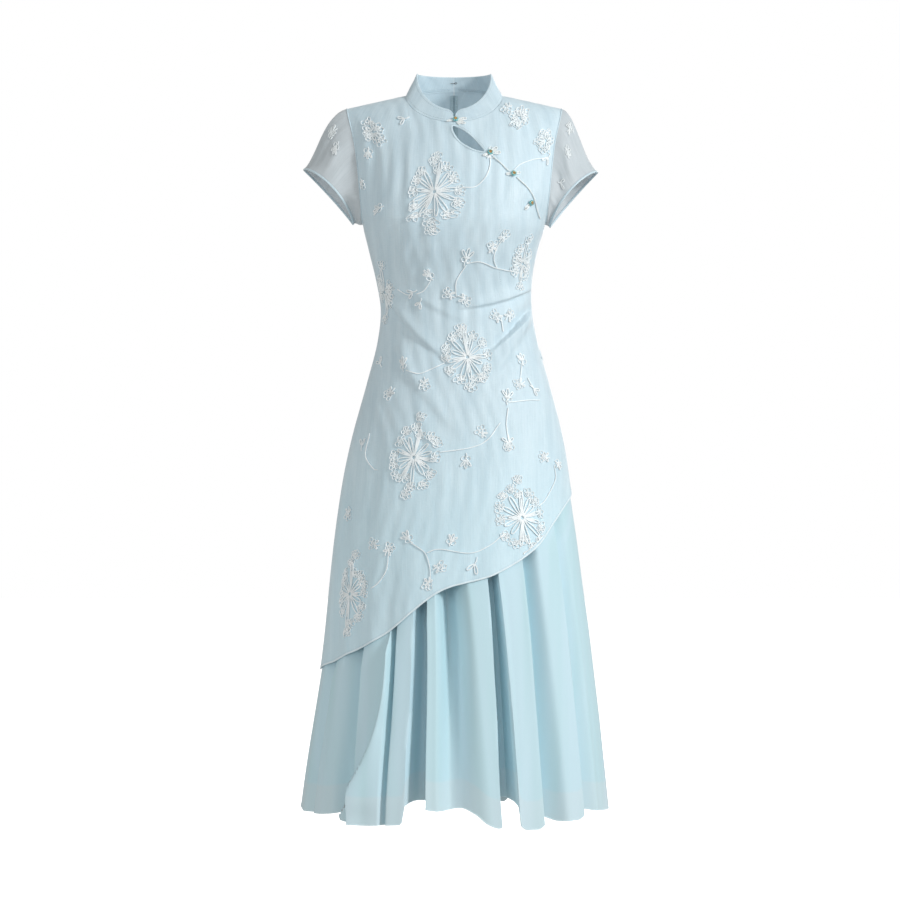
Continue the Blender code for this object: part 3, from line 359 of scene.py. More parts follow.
# Radius of the embroidery thread, size of a flower head's loops, and how much thinner the
# thread is in the loops, the vines and the loops on the sleeves.
THREAD = 0.00108
KNOT = 0.0036
KNOT_THREAD = THREAD * 0.74
VINE_THREAD = THREAD * 0.88
SLEEVE_KNOT_THREAD = THREAD * 0.86


def table(rows, columns):
    """A table's rows as one array for each named column."""
    return dict(zip(columns, np.array(rows, float).T))


def cubic(x, xs, ys, slope):
    """A cubic through the points (xs, ys) with these slopes, read at x."""
    x, step = np.clip(x, xs[0], xs[-1]), np.diff(xs)
    i = np.clip(np.searchsorted(xs, x, side="right") - 1, 0, len(xs) - 2)
    t = (x - xs[i]) / step[i]
    left = (1 + 2 * t) * (1 - t) ** 2 * ys[i] + t * (1 - t) ** 2 * step[i] * slope[i]
    right = t * t * (3 - 2 * t) * ys[i + 1] + t * t * (t - 1) * step[i] * slope[i + 1]
    return left + right


def smooth(x, xs, ys):
    """A smooth line through the points (xs, ys), read at x: a cubic with slopes from neighbours."""
    order = np.argsort(xs)
    xs, ys = np.asarray(xs, float)[order], np.asarray(ys, float)[order]
    step = np.diff(xs)
    rise = np.diff(ys) / step
    slope = np.concatenate([rise[:1], (rise[1:] * step[:-1] + rise[:-1] * step[1:]), rise[-1:]])
    slope[1:-1] /= step[:-1] + step[1:]
    return cubic(x, xs, ys, slope)


def stepped(x, xs, ys):
    """A line through rising points that never runs past one, read at x: a cubic whose slope is
    2 a b / (a + b) of its neighbours' slopes a and b, and nothing where they turn.
    """
    xs, ys = np.asarray(xs, float), np.asarray(ys, float)
    rise = np.diff(ys) / np.diff(xs)
    a, b = rise[:-1], rise[1:]
    same = a * b > 0
    mean = np.where(same, 2 * a * b / np.where(same, a + b, 1), 0)
    return cubic(x, xs, ys, np.concatenate([rise[:1], mean, rise[-1:]]))


def eased(t):
    """A soft step of a share: t^2 (3 - 2 t)."""
    return t * t * (3 - 2 * t)


def unit(vectors):
    """Vectors over their own length."""
    return vectors / np.maximum(np.linalg.norm(vectors, axis=-1, keepdims=True), 1e-12)


SECTION = table(SECTIONS, SECTION_COLUMNS)


def section(column, z):
    """One measure of the body's section at height z, smooth between the table's rows."""
    return smooth(z, SECTION["height"], SECTION[column])


def sway(z):
    """How far the dress leans to the wearer's left at height z."""
    heights, offsets = zip(*SWAY)
    return smooth(z, heights, offsets)


def edge_angle(z):
    """How far round a panel reaches: 90 degrees at the side seam, less along the armhole."""
    down = np.clip((ARMHOLE_WIDEST - z) / (ARMHOLE_WIDEST - UNDERARM), 0, 1)
    return np.arccos(math.cos(ARMHOLE_ANGLE) * np.sqrt(1 - down**2))


def shoulder_height(x, face):
    """Height of the shoulder line at x. Inside the neck it is the crown that rounds the panel."""
    soft = 0.02
    line = SHOULDER_DROP * (math.hypot(NECK_HALF_WIDTH, soft) - np.sqrt(x**2 + soft**2))
    inside = np.clip(1 - (x / NECK_HALF_WIDTH) ** 2, 0, 1) ** 1.5
    return line + (NAPE_FULLNESS * inside if face == BACK else 0)


def neckline(x, face):
    """Height of the neck seam at x."""
    inside = np.clip(1 - (x / NECK_HALF_WIDTH) ** 2, 0, 1)
    return NECK_BACK_RISE * inside if face == BACK else -NECK_FRONT_DROP * np.sqrt(inside)


def full_width(z):
    """Half the width of the whole oval at height z: W / sin(reach)^p."""
    return section("width", z) / np.sin(edge_angle(z)) ** (2 / section("squareness", z))


LEVELS = np.arange(UNDERARM - 0.04, UNDERARM + 0.04, 0.0005)
BELL = np.hanning(49)
SOFT_WIDTH = np.convolve(full_width(LEVELS), BELL / BELL.sum(), mode="same")


def on_body(u, z, face):
    """The cloth's outer face at height z and share u of the way from the centre to its edge.

    A section is a rounded oval: x = W sin(a)^p and y = D cos(a)^p, with a the share of the
    panel's reach. Over the shoulder D closes along a quarter of an ellipse. Away from the side
    seam W is averaged over 24 mm of height round the underarm, where the reach turns.
    """
    power = 2 / section("squareness", z)
    reach = edge_angle(z)
    width = full_width(z)
    soft = np.interp(z, LEVELS, SOFT_WIDTH)
    near = np.clip(1.4 - np.abs(z - UNDERARM) / 0.02, 0, 1) * (1 - np.clip(np.abs(u), 0, 1) ** 8)
    width = width + (soft - width) * near
    angle = u * reach
    x = width * np.sign(angle) * np.abs(np.sin(angle)) ** power
    up = (z - ARMHOLE_WIDEST) / (shoulder_height(x, face) - ARMHOLE_WIDEST)
    closing = np.sqrt(np.clip(1 - np.clip(up, 0, 1) ** 2, 0, 1))
    depth = section("front" if face == FRONT else "back", z)
    y = face * (depth * np.abs(np.cos(angle)) ** power * closing + SEAM / 2)
    return np.stack(np.broadcast_arrays(x, y, z), axis=-1)


def body_normals(u, z, face):
    """The direction out of the body at (u, z), from a small step along each way of its surface."""
    across = on_body(u + 0.004, z, face) - on_body(u - 0.004, z, face)
    down = on_body(u, z, face) - on_body(u, z - 0.0002, face)
    normal = unit(np.cross(across, down))
    return normal * np.sign((normal * on_body(u, z, face) * (1, 1, 0)).sum(axis=-1))[..., None]


def share_at(x, z):
    """The share u of a point at x on the body at height z: arcsin((x / W)^(1 / p)) / reach."""
    power = 2 / section("squareness", z)
    reach = edge_angle(z)
    part = np.clip(np.abs(x) / full_width(z), 0, 1) ** (1 / power)
    return np.sign(x) * np.arcsin(part) / reach


def outward(points):
    """The level direction away from the body at points on its oval sections."""
    x, y, z = np.moveaxis(points, -1, 0)
    depth = np.where(y < 0, section("front", z), section("back", z))
    return unit(np.stack([x / section("width", z) ** 2, y / depth**2, np.zeros_like(z)], axis=-1))


def panel_share(u):
    """A share that runs on over the side seam, from 1 to 2 on the back, as the share of its own
    panel, and whether that panel is the front.
    """
    front = np.abs(u) <= 1
    return np.where(front, u, np.sign(u) * (2 - np.abs(u))), front


def overlay_hem(u, face):
    """Height of the overlay's slanting edge. The back slants plainly between the same ends."""
    angles, heights = zip(*OVERLAY_HEM)
    if face == FRONT:
        return smooth(u * 90, angles, heights)
    middle, half = (heights[0] + heights[-1]) / 2, (heights[-1] - heights[0]) / 2
    return middle + half * np.sin(u * math.pi / 2)


def hem_around(u):
    """Height of the overlay's edge at a share that runs on over the side seam."""
    near, front = panel_share(u)
    return np.where(front, overlay_hem(near, FRONT), overlay_hem(near, BACK))


# Creases, darts and flutes of the bodice and overlay.


def away_from(x, z, line):
    """Distance of points from a curve, the share along it of the nearest point, and how far on
    its upper side they are: negative below it.
    """
    ahead = unit(np.gradient(line, axis=0))
    dx, dz = x[..., None] - line[:, 0], z[..., None] - line[:, 1]
    distance = np.hypot(dx, dz)
    near = distance.argmin(axis=-1)
    pick = np.take_along_axis
    dx, dz = (pick(d, near[..., None], -1)[..., 0] for d in (dx, dz))
    side = (ahead[near, 0] * dz - ahead[near, 1] * dx) * np.where(ahead[near, 0] < 0, -1, 1)
    return np.hypot(dx, dz), near / (len(line) - 1), side


def creases(x, z, rows):
    """How far creases lift the cloth: high on the upper side and deep on the lower side of each
    curve, both fading as exp(-(distance / width)^2) and along the curve as cos(pi t / 2)^0.7.
    """
    lift = np.zeros(x.shape)
    t = np.linspace(0, 1, 70)[:, None]
    for row in rows:
        p = dict(zip(CREASE_COLUMNS, row))
        ends = [np.array([p[f"x{i}"], p[f"z{i}"]]) for i in range(3)]
        line = (1 - t) ** 2 * ends[0] + 2 * t * (1 - t) * ends[1] + t * t * ends[2]
        room = 3 * max(p["over"], p["under"])
        low, high = line.min(axis=0) - room, line.max(axis=0) + room
        near = (x > low[0]) & (x < high[0]) & (z > low[1]) & (z < high[1])
        distance, along, side = away_from(x[near], z[near], line)
        upper = 0.5 + 0.5 * np.tanh(side / p["turn"])
        raised = p["high"] * np.exp(-((distance / p["over"]) ** 2))
        drawn = p["deep"] * np.exp(-((distance / p["under"]) ** 2))
        fade = np.cos(along * math.pi / 2) ** 0.7
        lift[near] += fade * (upper * raised - (1 - upper) * drawn)
    return lift


def darts(x, z, rows):
    """A stitched groove along each dart: -deep sin(pi t)^0.5 exp(-(distance / width)^2), with t
    the share of the way down it.
    """
    lift = np.zeros(x.shape)
    deep, wide = DART_GROOVE
    for points in rows:
        across, down = np.array(points).T
        line_x = smooth(z, down, across)
        length = np.clip((z - down.min()) / (down.max() - down.min()), 0, 1)
        lift -= deep * np.sin(math.pi * length) ** 0.5 * np.exp(-(((x - line_x) / wide) ** 2))
    return lift


def flutes(angle, z, rows):
    """Soft upright waves: -depth exp(-((angle - a) / spread)^2), growing from the start down."""
    f = table(rows, FLUTE_COLUMNS)
    down = np.clip((f["start"] - z[..., None]) / 0.30, 0, 1)
    shape = np.exp(-(((angle[..., None] - f["angle"]) / f["spread"]) ** 2))
    return -(f["depth"] * shape * eased(down)).sum(axis=-1)


# Waves of the drape as (height, across, down, bend, bend across, bend down, start).
DRAPE = (
    (0.0010, 150, 0, 2.2, 0, 12, 0.8),
    (0.0007, 64, -47, 1.4, 19, 31, 0),
    (0.0004, 270, 35, 2.0, 0, 23, 0),
)


def drape(x, z, face):
    """Soft folds of thin cloth: sums of h sin(a x + b z + c sin(d x + e z) + start), the first
    one changing along the cloth, less below the chest and none along the shoulder and the
    centre back.
    """
    waves = [high * np.sin(a * x + b * z + c * np.sin(e * z + d * x) + start)
             for high, a, b, c, d, e, start in DRAPE]
    wave = waves[0] * (0.55 + 0.45 * np.sin(16 * z + 21 * x)) + waves[1] + waves[2]
    lower = np.clip((z + 0.55) / 0.25, 0.35, 1)
    top = np.clip((shoulder_height(x, face) - z) / 0.04, 0, 1)
    middle = np.clip(np.abs(x) / 0.03, 0, 1) ** 2 if face == BACK else 1
    return wave * lower * top * middle


def cloth_lift(u, x, z, face):
    """All that the worn cloth does over the plain body, fading to nothing at the side seams."""
    rows = (FRONT_CREASES, FRONT_DARTS, FRONT_FLUTES) if face == FRONT else (
        BACK_CREASES, BACK_DARTS, BACK_FLUTES)
    away = np.clip((1 - np.abs(u)) / 0.38, 0, 1)
    lift = creases(x, z, rows[0]) * eased(away) + darts(x, z, rows[1])
    lift += flutes(u * np.degrees(edge_angle(z)), z, rows[2])
    lift += 0.0005 * np.sin(290 * x + 9 * np.sin(z * 13)) * np.sin(z * 23 + 20 * x)
    lift += drape(x, z, face)
    inside = np.clip((1 - np.abs(u)) / 0.18, 0, 1)
    return lift * eased(inside)


def dressed(u, z, face):
    """The worn cloth's outer face at share u and height z."""
    point = on_body(u, z, face)
    return point + outward(point) * cloth_lift(u, point[..., 0], z, face)[..., None]


def around(u, z):
    """The worn cloth at a share that runs on over the side seam: from 1 to 2 it is on the back."""
    near, front = panel_share(u)
    return np.where(front[..., None], dressed(near, z, FRONT), dressed(near, z, BACK))


def around_normals(u, z):
    """The way out of the worn cloth, from a small step along each way of its surface."""
    across = around(u + 0.006, z) - around(u - 0.006, z)
    up = around(u, z + 0.0008) - around(u, z - 0.0008)
    normal = unit(np.cross(across, up))
    return normal * np.sign((normal * on_body_level(u, z)).sum(axis=-1))[..., None]


def on_body_level(u, z):
    """The plain body at a share that runs on over the side seam, laid down to height 0."""
    near, front = panel_share(u)
    return np.where(front[..., None], on_body(near, z, FRONT), on_body(near, z, BACK)) * (1, 1, 0)


# Meshes.


def put(name, points, faces, material, slot, replaced=(), uv=None):
    """A piece from whole arrays: points (n, 3), faces as arrays of one size each, and a weave
    place for each corner of the faces. It is moved by the dress's sway, turned right side out by
    the sign of its volume, rides on the dress and stands in for the replaced nodes.
    """
    faces = faces if isinstance(faces, list) else [faces]
    points = points.reshape(-1, 3).copy()
    points[:, 0] += sway(points[:, 2])
    inside = 0
    for part in faces:
        a = points[part[:, 0]]
        for i in range(1, part.shape[1] - 1):
            inside += (a * np.cross(points[part[:, i]], points[part[:, i + 1]])).sum()
    if inside < 0:
        faces = [part[:, ::-1] for part in faces]
        uv = None if uv is None else [part[:, ::-1] for part in uv]
    mesh = bpy.data.meshes.new(name)
    mesh.from_pydata(points.tolist(), [], [face for part in faces for face in part.tolist()])
    if uv is not None:
        layer = mesh.uv_layers.new(name="weave")
        flat = np.concatenate([part.reshape(-1, 2) for part in uv])
        layer.uv.foreach_set("vector", flat.astype(np.float32).ravel())
    mesh.shade_smooth()
    mesh.set_sharp_from_angle(angle=math.radians(55))
    mesh.materials.append(material)
    piece = bpy.data.objects.new(name, mesh)
    bpy.context.scene.collection.objects.link(piece)
    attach(piece, "dress")
    if replaced:
        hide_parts(*replaced)
    return piece


def wall_faces(rows, columns, kept=None, closed=False):
    """Faces of a wall between two grids: outer quads, inner quads and the rim round what is kept.

    Gives them by place in a grid that is one column wider where it is closed, and by point.
    """
    wide = columns + closed
    place = np.arange(rows * wide).reshape(rows, wide)
    quads = np.stack([place[:-1, :-1], place[:-1, 1:], place[1:, 1:], place[1:, :-1]], axis=-1)
    quads = quads.reshape(-1, 4) if kept is None else quads[kept]
    point = (np.arange(rows * wide) // wide * columns + np.arange(rows * wide) % wide % columns)
    edges = np.concatenate([quads[:, [i, (i + 1) % 4]] for i in range(4)])
    ends = np.sort(point[edges], axis=1)
    _, first, count = np.unique(ends, axis=0, return_index=True, return_counts=True)
    rim = edges[first[count == 1]]
    m = rows * wide
    sides = np.stack([rim[:, 1], rim[:, 0], rim[:, 0] + m, rim[:, 1] + m], axis=-1)
    places = np.concatenate([quads, quads[:, ::-1] + m, sides])
    point = np.concatenate([point, point + rows * columns])
    return places, point[places]


def weave_grid(outer, closed=False):
    """The weave's place of each grid point in metres: level distance round, and height."""
    grid = np.concatenate([outer, outer[:, :1]], axis=1) if closed else outer
    step = np.hypot(*np.moveaxis(np.diff(grid[..., :2], axis=1), -1, 0))
    along = np.concatenate([np.zeros((len(grid), 1)), np.cumsum(step, axis=1)], axis=1)
    along -= along[:, [along.shape[1] // 2]]
    return np.stack([along, grid[..., 2]], axis=-1)


def ring_quads(a, b):
    """Quads between closed rings of point numbers."""
    return np.stack([a, np.roll(a, -1, -1), np.roll(b, -1, -1), b], axis=-1).reshape(-1, 4)


def run_along(path):
    """The distance run along a line of points, at each of them."""
    return np.concatenate([[0], np.cumsum(np.linalg.norm(np.diff(path, axis=0), axis=1))])


def read_line(at, along, values):
    """Values given at the distances along a line, read at others."""
    return np.stack([np.interp(at, along, column) for column in values.T], axis=-1)


def wall(name, outer, inner, material, slot, replaced, kept=None, closed=False, weave=None):
    """A closed wall of cloth between two grids of points of the same size."""
    rows, columns = outer.shape[:2]
    places, faces = wall_faces(rows, columns, kept, closed)
    weave = weave_grid(outer, closed) if weave is None else weave
    flat = np.tile(weave.reshape(-1, 2), (2, 1))
    points = np.concatenate([outer.reshape(-1, 3), inner.reshape(-1, 3)])
    return put(name, points, faces, material, slot, replaced, [flat[places]])


def grid_normals(points, closed=False):
    """Unit normals of a grid of points, pointing away from its middle."""
    if closed:
        ring = np.concatenate([points[:, -1:], points, points[:, :1]], axis=1)
        across = (ring[:, 2:] - ring[:, :-2]) / 2
    else:
        across = np.gradient(points, axis=1)
    normal = unit(np.cross(across, np.gradient(points, axis=0)))
    middle = points.reshape(-1, 3).mean(axis=0)
    return normal if (normal * (points - middle)).sum() > 0 else -normal


def cords(paths, ups, radius, sides=4, closed=False, flat=1.0):
    """Round threads along paths (n, m, 3): path + r (cos a across + flat sin a above).

    Gives points and faces. Open ends are closed with a face.
    """
    n, m = paths.shape[:2]
    ahead = unit(np.roll(paths, -1, axis=1) - np.roll(paths, 1, axis=1) if closed
                 else np.gradient(paths, axis=1))
    across = unit(np.cross(ahead, ups))
    above = np.cross(across, ahead)
    turn = np.arange(sides)[:, None] * 2 * math.pi / sides + math.pi / sides
    ring = np.cos(turn) * across[:, :, None] + flat * np.sin(turn) * above[:, :, None]
    radius = np.broadcast_to(radius, (n, m))[..., None, None]
    points = paths[:, :, None] + radius * ring
    index = np.arange(n * m * sides).reshape(n, m, sides)
    loop = np.concatenate([index, index[:, :1]], axis=1) if closed else index
    faces = [ring_quads(loop[:, :-1], loop[:, 1:])]
    if not closed:
        faces += [index[:, 0, ::-1], index[:, -1]]
    return points.reshape(-1, 3), faces


def joined(parts):
    """Several (points, faces) as one."""
    points, faces, count = [], [], 0
    for some, shapes in parts:
        points.append(some)
        faces += [shape + count for shape in shapes]
        count += len(some)
    return np.concatenate(points), faces


# Bodice and overlay.

# Rows in a tenth of the armhole, degrees round of the neck's columns, and the level rows between
# two heights as (from, to, count).
FINE = 8
NECK_TURNS = np.interp(np.linspace(0, 5, 26), range(6), (0, 20, 40, 58, 74, 90))
NECK_STEPS = len(NECK_TURNS) - 1
FRONT_SPANS = ((HIP, -0.445, 30), (-0.445, -0.295, 106), (-0.295, UNDERARM, 36))
BACK_SPANS = ((HIP, -0.440, 28), (-0.440, -0.275, 62), (-0.275, UNDERARM, 26))


def half_columns(outside):
    """Shares u from the centre to the edge, level ones and those along the top edge."""
    turn = np.radians(NECK_TURNS)
    neck = share_at(NECK_HALF_WIDTH * np.sin(turn), np.zeros(len(turn)))
    top = np.concatenate([neck, np.linspace(neck[-1], 1, outside + 1)[1:]])
    return np.linspace(0, 1, len(top)), top


def front_columns():
    """The front's columns from edge to edge, level ones and those along the top edge."""
    return [np.concatenate([-half[:0:-1], half]) for half in half_columns(48)]


def back_columns(side):
    """A back panel's columns from the centre back to its edge."""
    return [side * half for half in half_columns(56)]


def rounded_rows(even, top, face, steps):
    """(shares, heights) of the rows from the armhole's widest up to the shoulder or the neck."""
    neck = float(share_at(np.array(NECK_HALF_WIDTH), np.array(0.0)))
    inside = np.abs(top) < neck - 1e-9
    z = np.full(top.shape, ARMHOLE_WIDEST / 2)
    for _ in range(30):
        x = on_body(top, z, face)[..., 0]
        z = np.where(inside, neckline(x, face), shoulder_height(x, face))
    share = (z - ARMHOLE_WIDEST) / (shoulder_height(x, face) - ARMHOLE_WIDEST)
    most = np.arcsin(np.clip(share, 0, 1))
    steps = steps[:, None]
    u = even + (top - even) * (0.25 + 0.75 * steps)
    z = np.full(u.shape, ARMHOLE_WIDEST)
    for _ in range(30):
        crown = shoulder_height(on_body(u, z, face)[..., 0], face)
        z = ARMHOLE_WIDEST + (crown - ARMHOLE_WIDEST) * np.sin(steps * most)
    return u, z


def panel(face, columns, spans, hem_rows):
    """Shares and heights of a body panel's grid: slanting rows from the hem, level rows, the
    armhole and the shoulder.
    """
    even, top = columns
    hem = overlay_hem(even, face)
    share = np.arange(hem_rows)[:, None] / hem_rows
    heights = [hem + (HIP - hem) * share]
    for low, high, count in spans:
        heights.append(np.tile((low + (high - low) * np.arange(count) / count)[:, None], len(even)))
    z = np.concatenate(heights)
    u = np.tile(even, (len(z), 1))
    k = np.arange(4 * FINE)[:, None] / (4 * FINE)
    arm_u = even + (top - even) * k / 4
    arm_z = ARMHOLE_WIDEST + (UNDERARM - ARMHOLE_WIDEST) * np.cos(k * math.pi / 2) + 0 * arm_u
    top_u, top_z = rounded_rows(even, top, face, np.linspace(0, 1, 6 * FINE + 1))
    return np.concatenate([u, arm_u, top_u]), np.concatenate([z, arm_z, top_z])


def behind(points, face, side=0):
    """Keeps a wall's inner points on their own side of the seams."""
    points = points.copy()
    points[..., 1] = face * np.maximum(face * points[..., 1], SEAM / 2)
    if side:
        points[..., 0] = side * np.maximum(side * points[..., 0], SEAM / 2)
    return points


def keyhole_edge(count=10, grow=0.0):
    """The keyhole's outline on the front as (x, z): two bowed edges between its ends."""
    start, end = np.array(KEYHOLE_TOP), np.array(KEYHOLE_END)
    chord = end - start
    across = np.array([chord[1], -chord[0]]) / np.linalg.norm(chord)
    t = np.linspace(0, 1, count + 1)
    bow = np.sin(math.pi * t**0.85) ** 0.8
    bow[[0, -1]] = 0
    low = start + t[:, None] * chord + across * (KEYHOLE_BOW_LOW * bow)[:, None]
    high = start + t[:, None] * chord - across * (KEYHOLE_BOW_HIGH * bow)[:, None]
    edge = np.concatenate([low, high[-2:0:-1]])
    if not grow:
        return edge
    tangent = np.roll(edge, -1, axis=0) - np.roll(edge, 1, axis=0)
    normal = unit(np.stack([tangent[:, 1], -tangent[:, 0]], axis=1))
    if (normal * (edge - edge.mean(axis=0))).sum() < 0:
        normal = -normal
    return edge + normal * grow


def within(points, outline):
    """Which (x, z) points lie inside an outline, by how often a level line crosses its edges."""
    x, z = points[..., 0:1], points[..., 1:2]
    a, b = outline, np.roll(outline, -1, axis=0)
    spans = (a[:, 1] > z) != (b[:, 1] > z)
    run = np.where(np.abs(b[:, 1] - a[:, 1]) < 1e-12, 1e-12, b[:, 1] - a[:, 1])
    cross = a[:, 0] + (z - a[:, 1]) / run * (b[:, 0] - a[:, 0])
    return (spans & (x < cross)).sum(axis=-1) % 2 == 1


def make_front():
    """The front panel, with the keyhole left open. Gives its outer points."""
    u, z = panel(FRONT, front_columns(), FRONT_SPANS, hem_rows=54)
    outer = dressed(u, z, FRONT)
    inner = behind(outer - body_normals(u, z, FRONT) * CLOTH, FRONT)
    middle = (outer[:-1, :-1] + outer[1:, 1:] + outer[:-1, 1:] + outer[1:, :-1]) / 4
    hole = within(middle[..., [0, 2]], keyhole_edge(40, 0.0014))
    wall("bodice_front", outer, inner, finish_organza(), "organza", ["front"], kept=~hole)
    return outer


def make_back(name, side):
    """One back panel, its centre edge set half a seam from the middle. Gives its outer points."""
    u, z = panel(BACK, back_columns(side), BACK_SPANS, hem_rows=44)
    outer = dressed(u, z, BACK)
    outer[:, 0, 0] = side * SEAM / 2
    inner = behind(outer - body_normals(u, z, BACK) * CLOTH, BACK, side)
    wall(f"bodice_{name}", outer, inner, finish_organza(), "organza", [name])
    return outer


def on_front(x, z):
    """Points of the worn front's outer face at (x, z), and its normals there."""
    x, z = np.broadcast_arrays(np.asarray(x, float), np.asarray(z, float))
    u = share_at(x, z)
    return around(u, z), around_normals(u, z)


def make_keyhole_binding():
    """A flat roll round the keyhole's edge: a profile (cos^0.6, sin^0.8) carried along the
    outline. Gives the line of its stitches.
    """
    edge = keyhole_edge(36, (KEYHOLE_BINDING - BINDING_OVERLAP) / 2)
    point, up = on_front(edge[:, 0], edge[:, 1])
    ahead = unit(np.roll(point, -1, axis=0) - np.roll(point, 1, axis=0))
    across = unit(np.cross(ahead, up))
    turn = np.linspace(0, 2 * math.pi, 16, endpoint=False)[:, None, None]
    round_x = np.sign(np.cos(turn)) * np.abs(np.cos(turn)) ** 0.6
    round_y = np.sign(np.sin(turn)) * np.abs(np.sin(turn)) ** 0.8
    half = (KEYHOLE_BINDING + BINDING_OVERLAP) / 2
    ring = point - up * CLOTH / 2 + across * half * round_x + up * BINDING_HALF_DEPTH * round_y
    ring = ring.transpose(1, 0, 2)
    index = np.arange(ring.shape[0] * 16).reshape(-1, 16)
    put("bodice_keyhole_binding", ring, ring_quads(index, np.roll(index, -1, axis=0)),
        finish("binding satin"), "binding", ["keyhole_binding"])
    return keyhole_edge(60, KEYHOLE_BINDING - 0.0008)


def make_overlay_hem():
    """The overlay's rolled hem: an oval profile carried all round the cloth's edge."""
    turn = np.linspace(-2, 2, 480, endpoint=False)
    hem = hem_around(turn) - 0.0008
    point, up = around(turn, hem), around_normals(turn, hem)
    half_width, half_depth = HEM_ROLL
    points, faces = cords((point - up * CLOTH / 2)[None], up[None], half_width, 10, True,
                          half_depth / half_width)
    # The rolled hem takes the binding satin painted lighter: a painted highlight along the edge.
    put("overlay_rolled_hem", points, faces, finish("binding satin painted lit"), "binding",
        ["overlay_hem_front", "overlay_hem_back_left", "overlay_hem_back_right"])


# Collar.


def neck_seam(front_points, back_points):
    """The neck seam from the centre front to the centre back, along the panels' own edges."""
    middle = front_points.shape[1] // 2
    front = front_points[-1, middle:middle + NECK_STEPS + 1]
    back = back_points[-1, NECK_STEPS - 1::-1] * (np.sign(back_points[-1, 1, 0]), 1, 1)
    edge = np.concatenate([front, back])
    edge[NECK_STEPS, 1] = 0
    at = np.linspace(0, len(edge) - 1, 2 * len(edge) - 1)
    return read_line(at, np.arange(len(edge)), edge)


def collar_top(angle):
    """The collar's top edge, level behind and dipping to the front along a slanting plane."""
    front = np.cos(angle) > 0
    y = np.where(front, COLLAR_FRONT, -COLLAR_BACK) * np.cos(angle)
    dip = np.where(front, (COLLAR_RISE - COLLAR_FRONT_RISE) * np.cos(angle), 0)
    return np.stack([COLLAR_HALF_WIDTH * np.sin(angle), y, COLLAR_RISE - dip], axis=-1)


def make_collar(name, side, front_points, back_points):
    """Half of the stand collar. Its wall thins to a rounded edge at the top: t sqrt(1 - e^2). It
    is softly uneven: waves sin(90 s) along it, and slanting ones in patches sin(38 s + start).
    """
    base = neck_seam(front_points, back_points)
    angle = np.interp(np.linspace(0, 1, len(base)), np.linspace(0, 1, 21),
                      np.linspace(0, math.pi, 21))
    top = collar_top(angle)
    base = base + unit(top - base) * 2 * SEAM
    along = run_along(top)
    corner = np.clip(1 - along / COLLAR_ROUNDING, 0, 1)
    height = 0.30 + 0.70 * np.sqrt(1 - corner**2)
    shares = np.concatenate([np.linspace(0, 0.94, 20), [0.965, 0.985, 1.0]])[:, None, None]
    outer = base + (top - base) * height[None, :, None] * shares
    outer[..., 0] = np.maximum(outer[..., 0], COLLAR_SPLIT / 2)
    outer[:, -1, 0] = SEAM / 2
    normal = unit(grid_normals(outer) * (1, 1, 0))
    if (normal * outer).sum() < 0:
        normal = -normal
    edge = np.clip((shares - 0.94) / 0.06, 0, 1)
    thick = COLLAR_CLOTH * np.sqrt(1 - 0.96 * edge**2)
    set_in = (COLLAR_CLOTH - thick) / 2
    slant = along[None, :, None] * 210 + shares * 5.5
    patch = np.clip(np.sin(along * 38 + (0.6 if side > 0 else 2.3)), 0, 1)[None, :, None]
    soft = (0.0004 * np.sin(along * 90)[None, :, None] + 0.00095 * patch * np.sin(slant)
            ) * np.sin(shares * 3.1)
    inner = outer - normal * (thick + set_in)
    outer = outer - normal * set_in + normal * soft
    inner = inner + normal * soft
    inner[0, :, 2] -= 0.0016
    least = np.full(outer.shape[:2], COLLAR_SPLIT / 2)
    least[:, -1] = SEAM / 2
    for points in (outer, inner):
        points[..., 0] = side * np.maximum(points[..., 0], least)
    weave = np.stack(np.broadcast_arrays(along[None], 0.045 * shares[..., 0]), axis=-1)
    collar = wall(f"stand_{name}", outer, inner, finish_organza(), "organza", [name], weave=weave)
    return outer


# Sleeves.


def armhole(side, front_points, back_points):
    """The armhole as a loop from the shoulder, down the front, under the arm and up the back."""
    rows = 10 * FINE + 1
    down = front_points[-rows:, -1 if side > 0 else 0][::-1]
    up = back_points[-rows:, -1]
    loop = np.concatenate([down, up[1:-1]])
    loop[0, 1] = 0
    loop[len(down) - 1, 1] = 0
    return loop


def cuff_ring(name, count, back_off=0.0):
    """The cuff's edge, a slanting oval that rises in front, and the way out of the sleeve."""
    side, tip_x, tip_z, inner_x, inner_z, _ = SLEEVES[name]
    turn = np.linspace(0, 2 * math.pi, count, endpoint=False)[:, None]
    tip, low = np.array([side * tip_x, 0, tip_z]), np.array([side * inner_x, 0, inner_z])
    half = (tip - low) / 2
    out = np.array([side * abs(half[2]), 0, -abs(half[0])]) / np.linalg.norm(half)
    ring = (tip + low) / 2 + half * np.cos(turn)
    ring = ring + np.array([0, -CUFF_HALF_DEPTH, 0]) * np.sin(turn)
    front, back = np.clip(np.sin(turn), 0, 1) ** 1.5, np.clip(-np.sin(turn), 0, 1) ** 1.5
    rise = CUFF_FRONT_RISE * front + CUFF_BACK_RISE * back
    return ring - out * (rise + back_off), out, (1 + np.cos(turn)) / 2


# Soft folds of a sleeve: degrees round from the shoulder, spread, height.
SLEEVE_FOLDS = ((18, 6, 0.0026), (42, 7, -0.0024), (66, 6, 0.0024), (92, 7, -0.0026),
                (118, 6, 0.0020), (200, 9, 0.0018), (250, 8, -0.0022), (290, 7, 0.0020),
                (330, 7, -0.0016))


def sleeve_folds(turn, s, side):
    """Soft folds down from the armhole: sums of waves exp(-((turn - a) / w)^2) that fade out."""
    lift = 0
    for angle, spread, depth in SLEEVE_FOLDS:
        wave = np.exp(-(((np.degrees(turn) - angle - 6 * side * s) / spread) ** 2))
        lift = lift + depth * wave
    return lift * np.sin(math.pi * np.clip(s, 0, 1)) ** 0.8


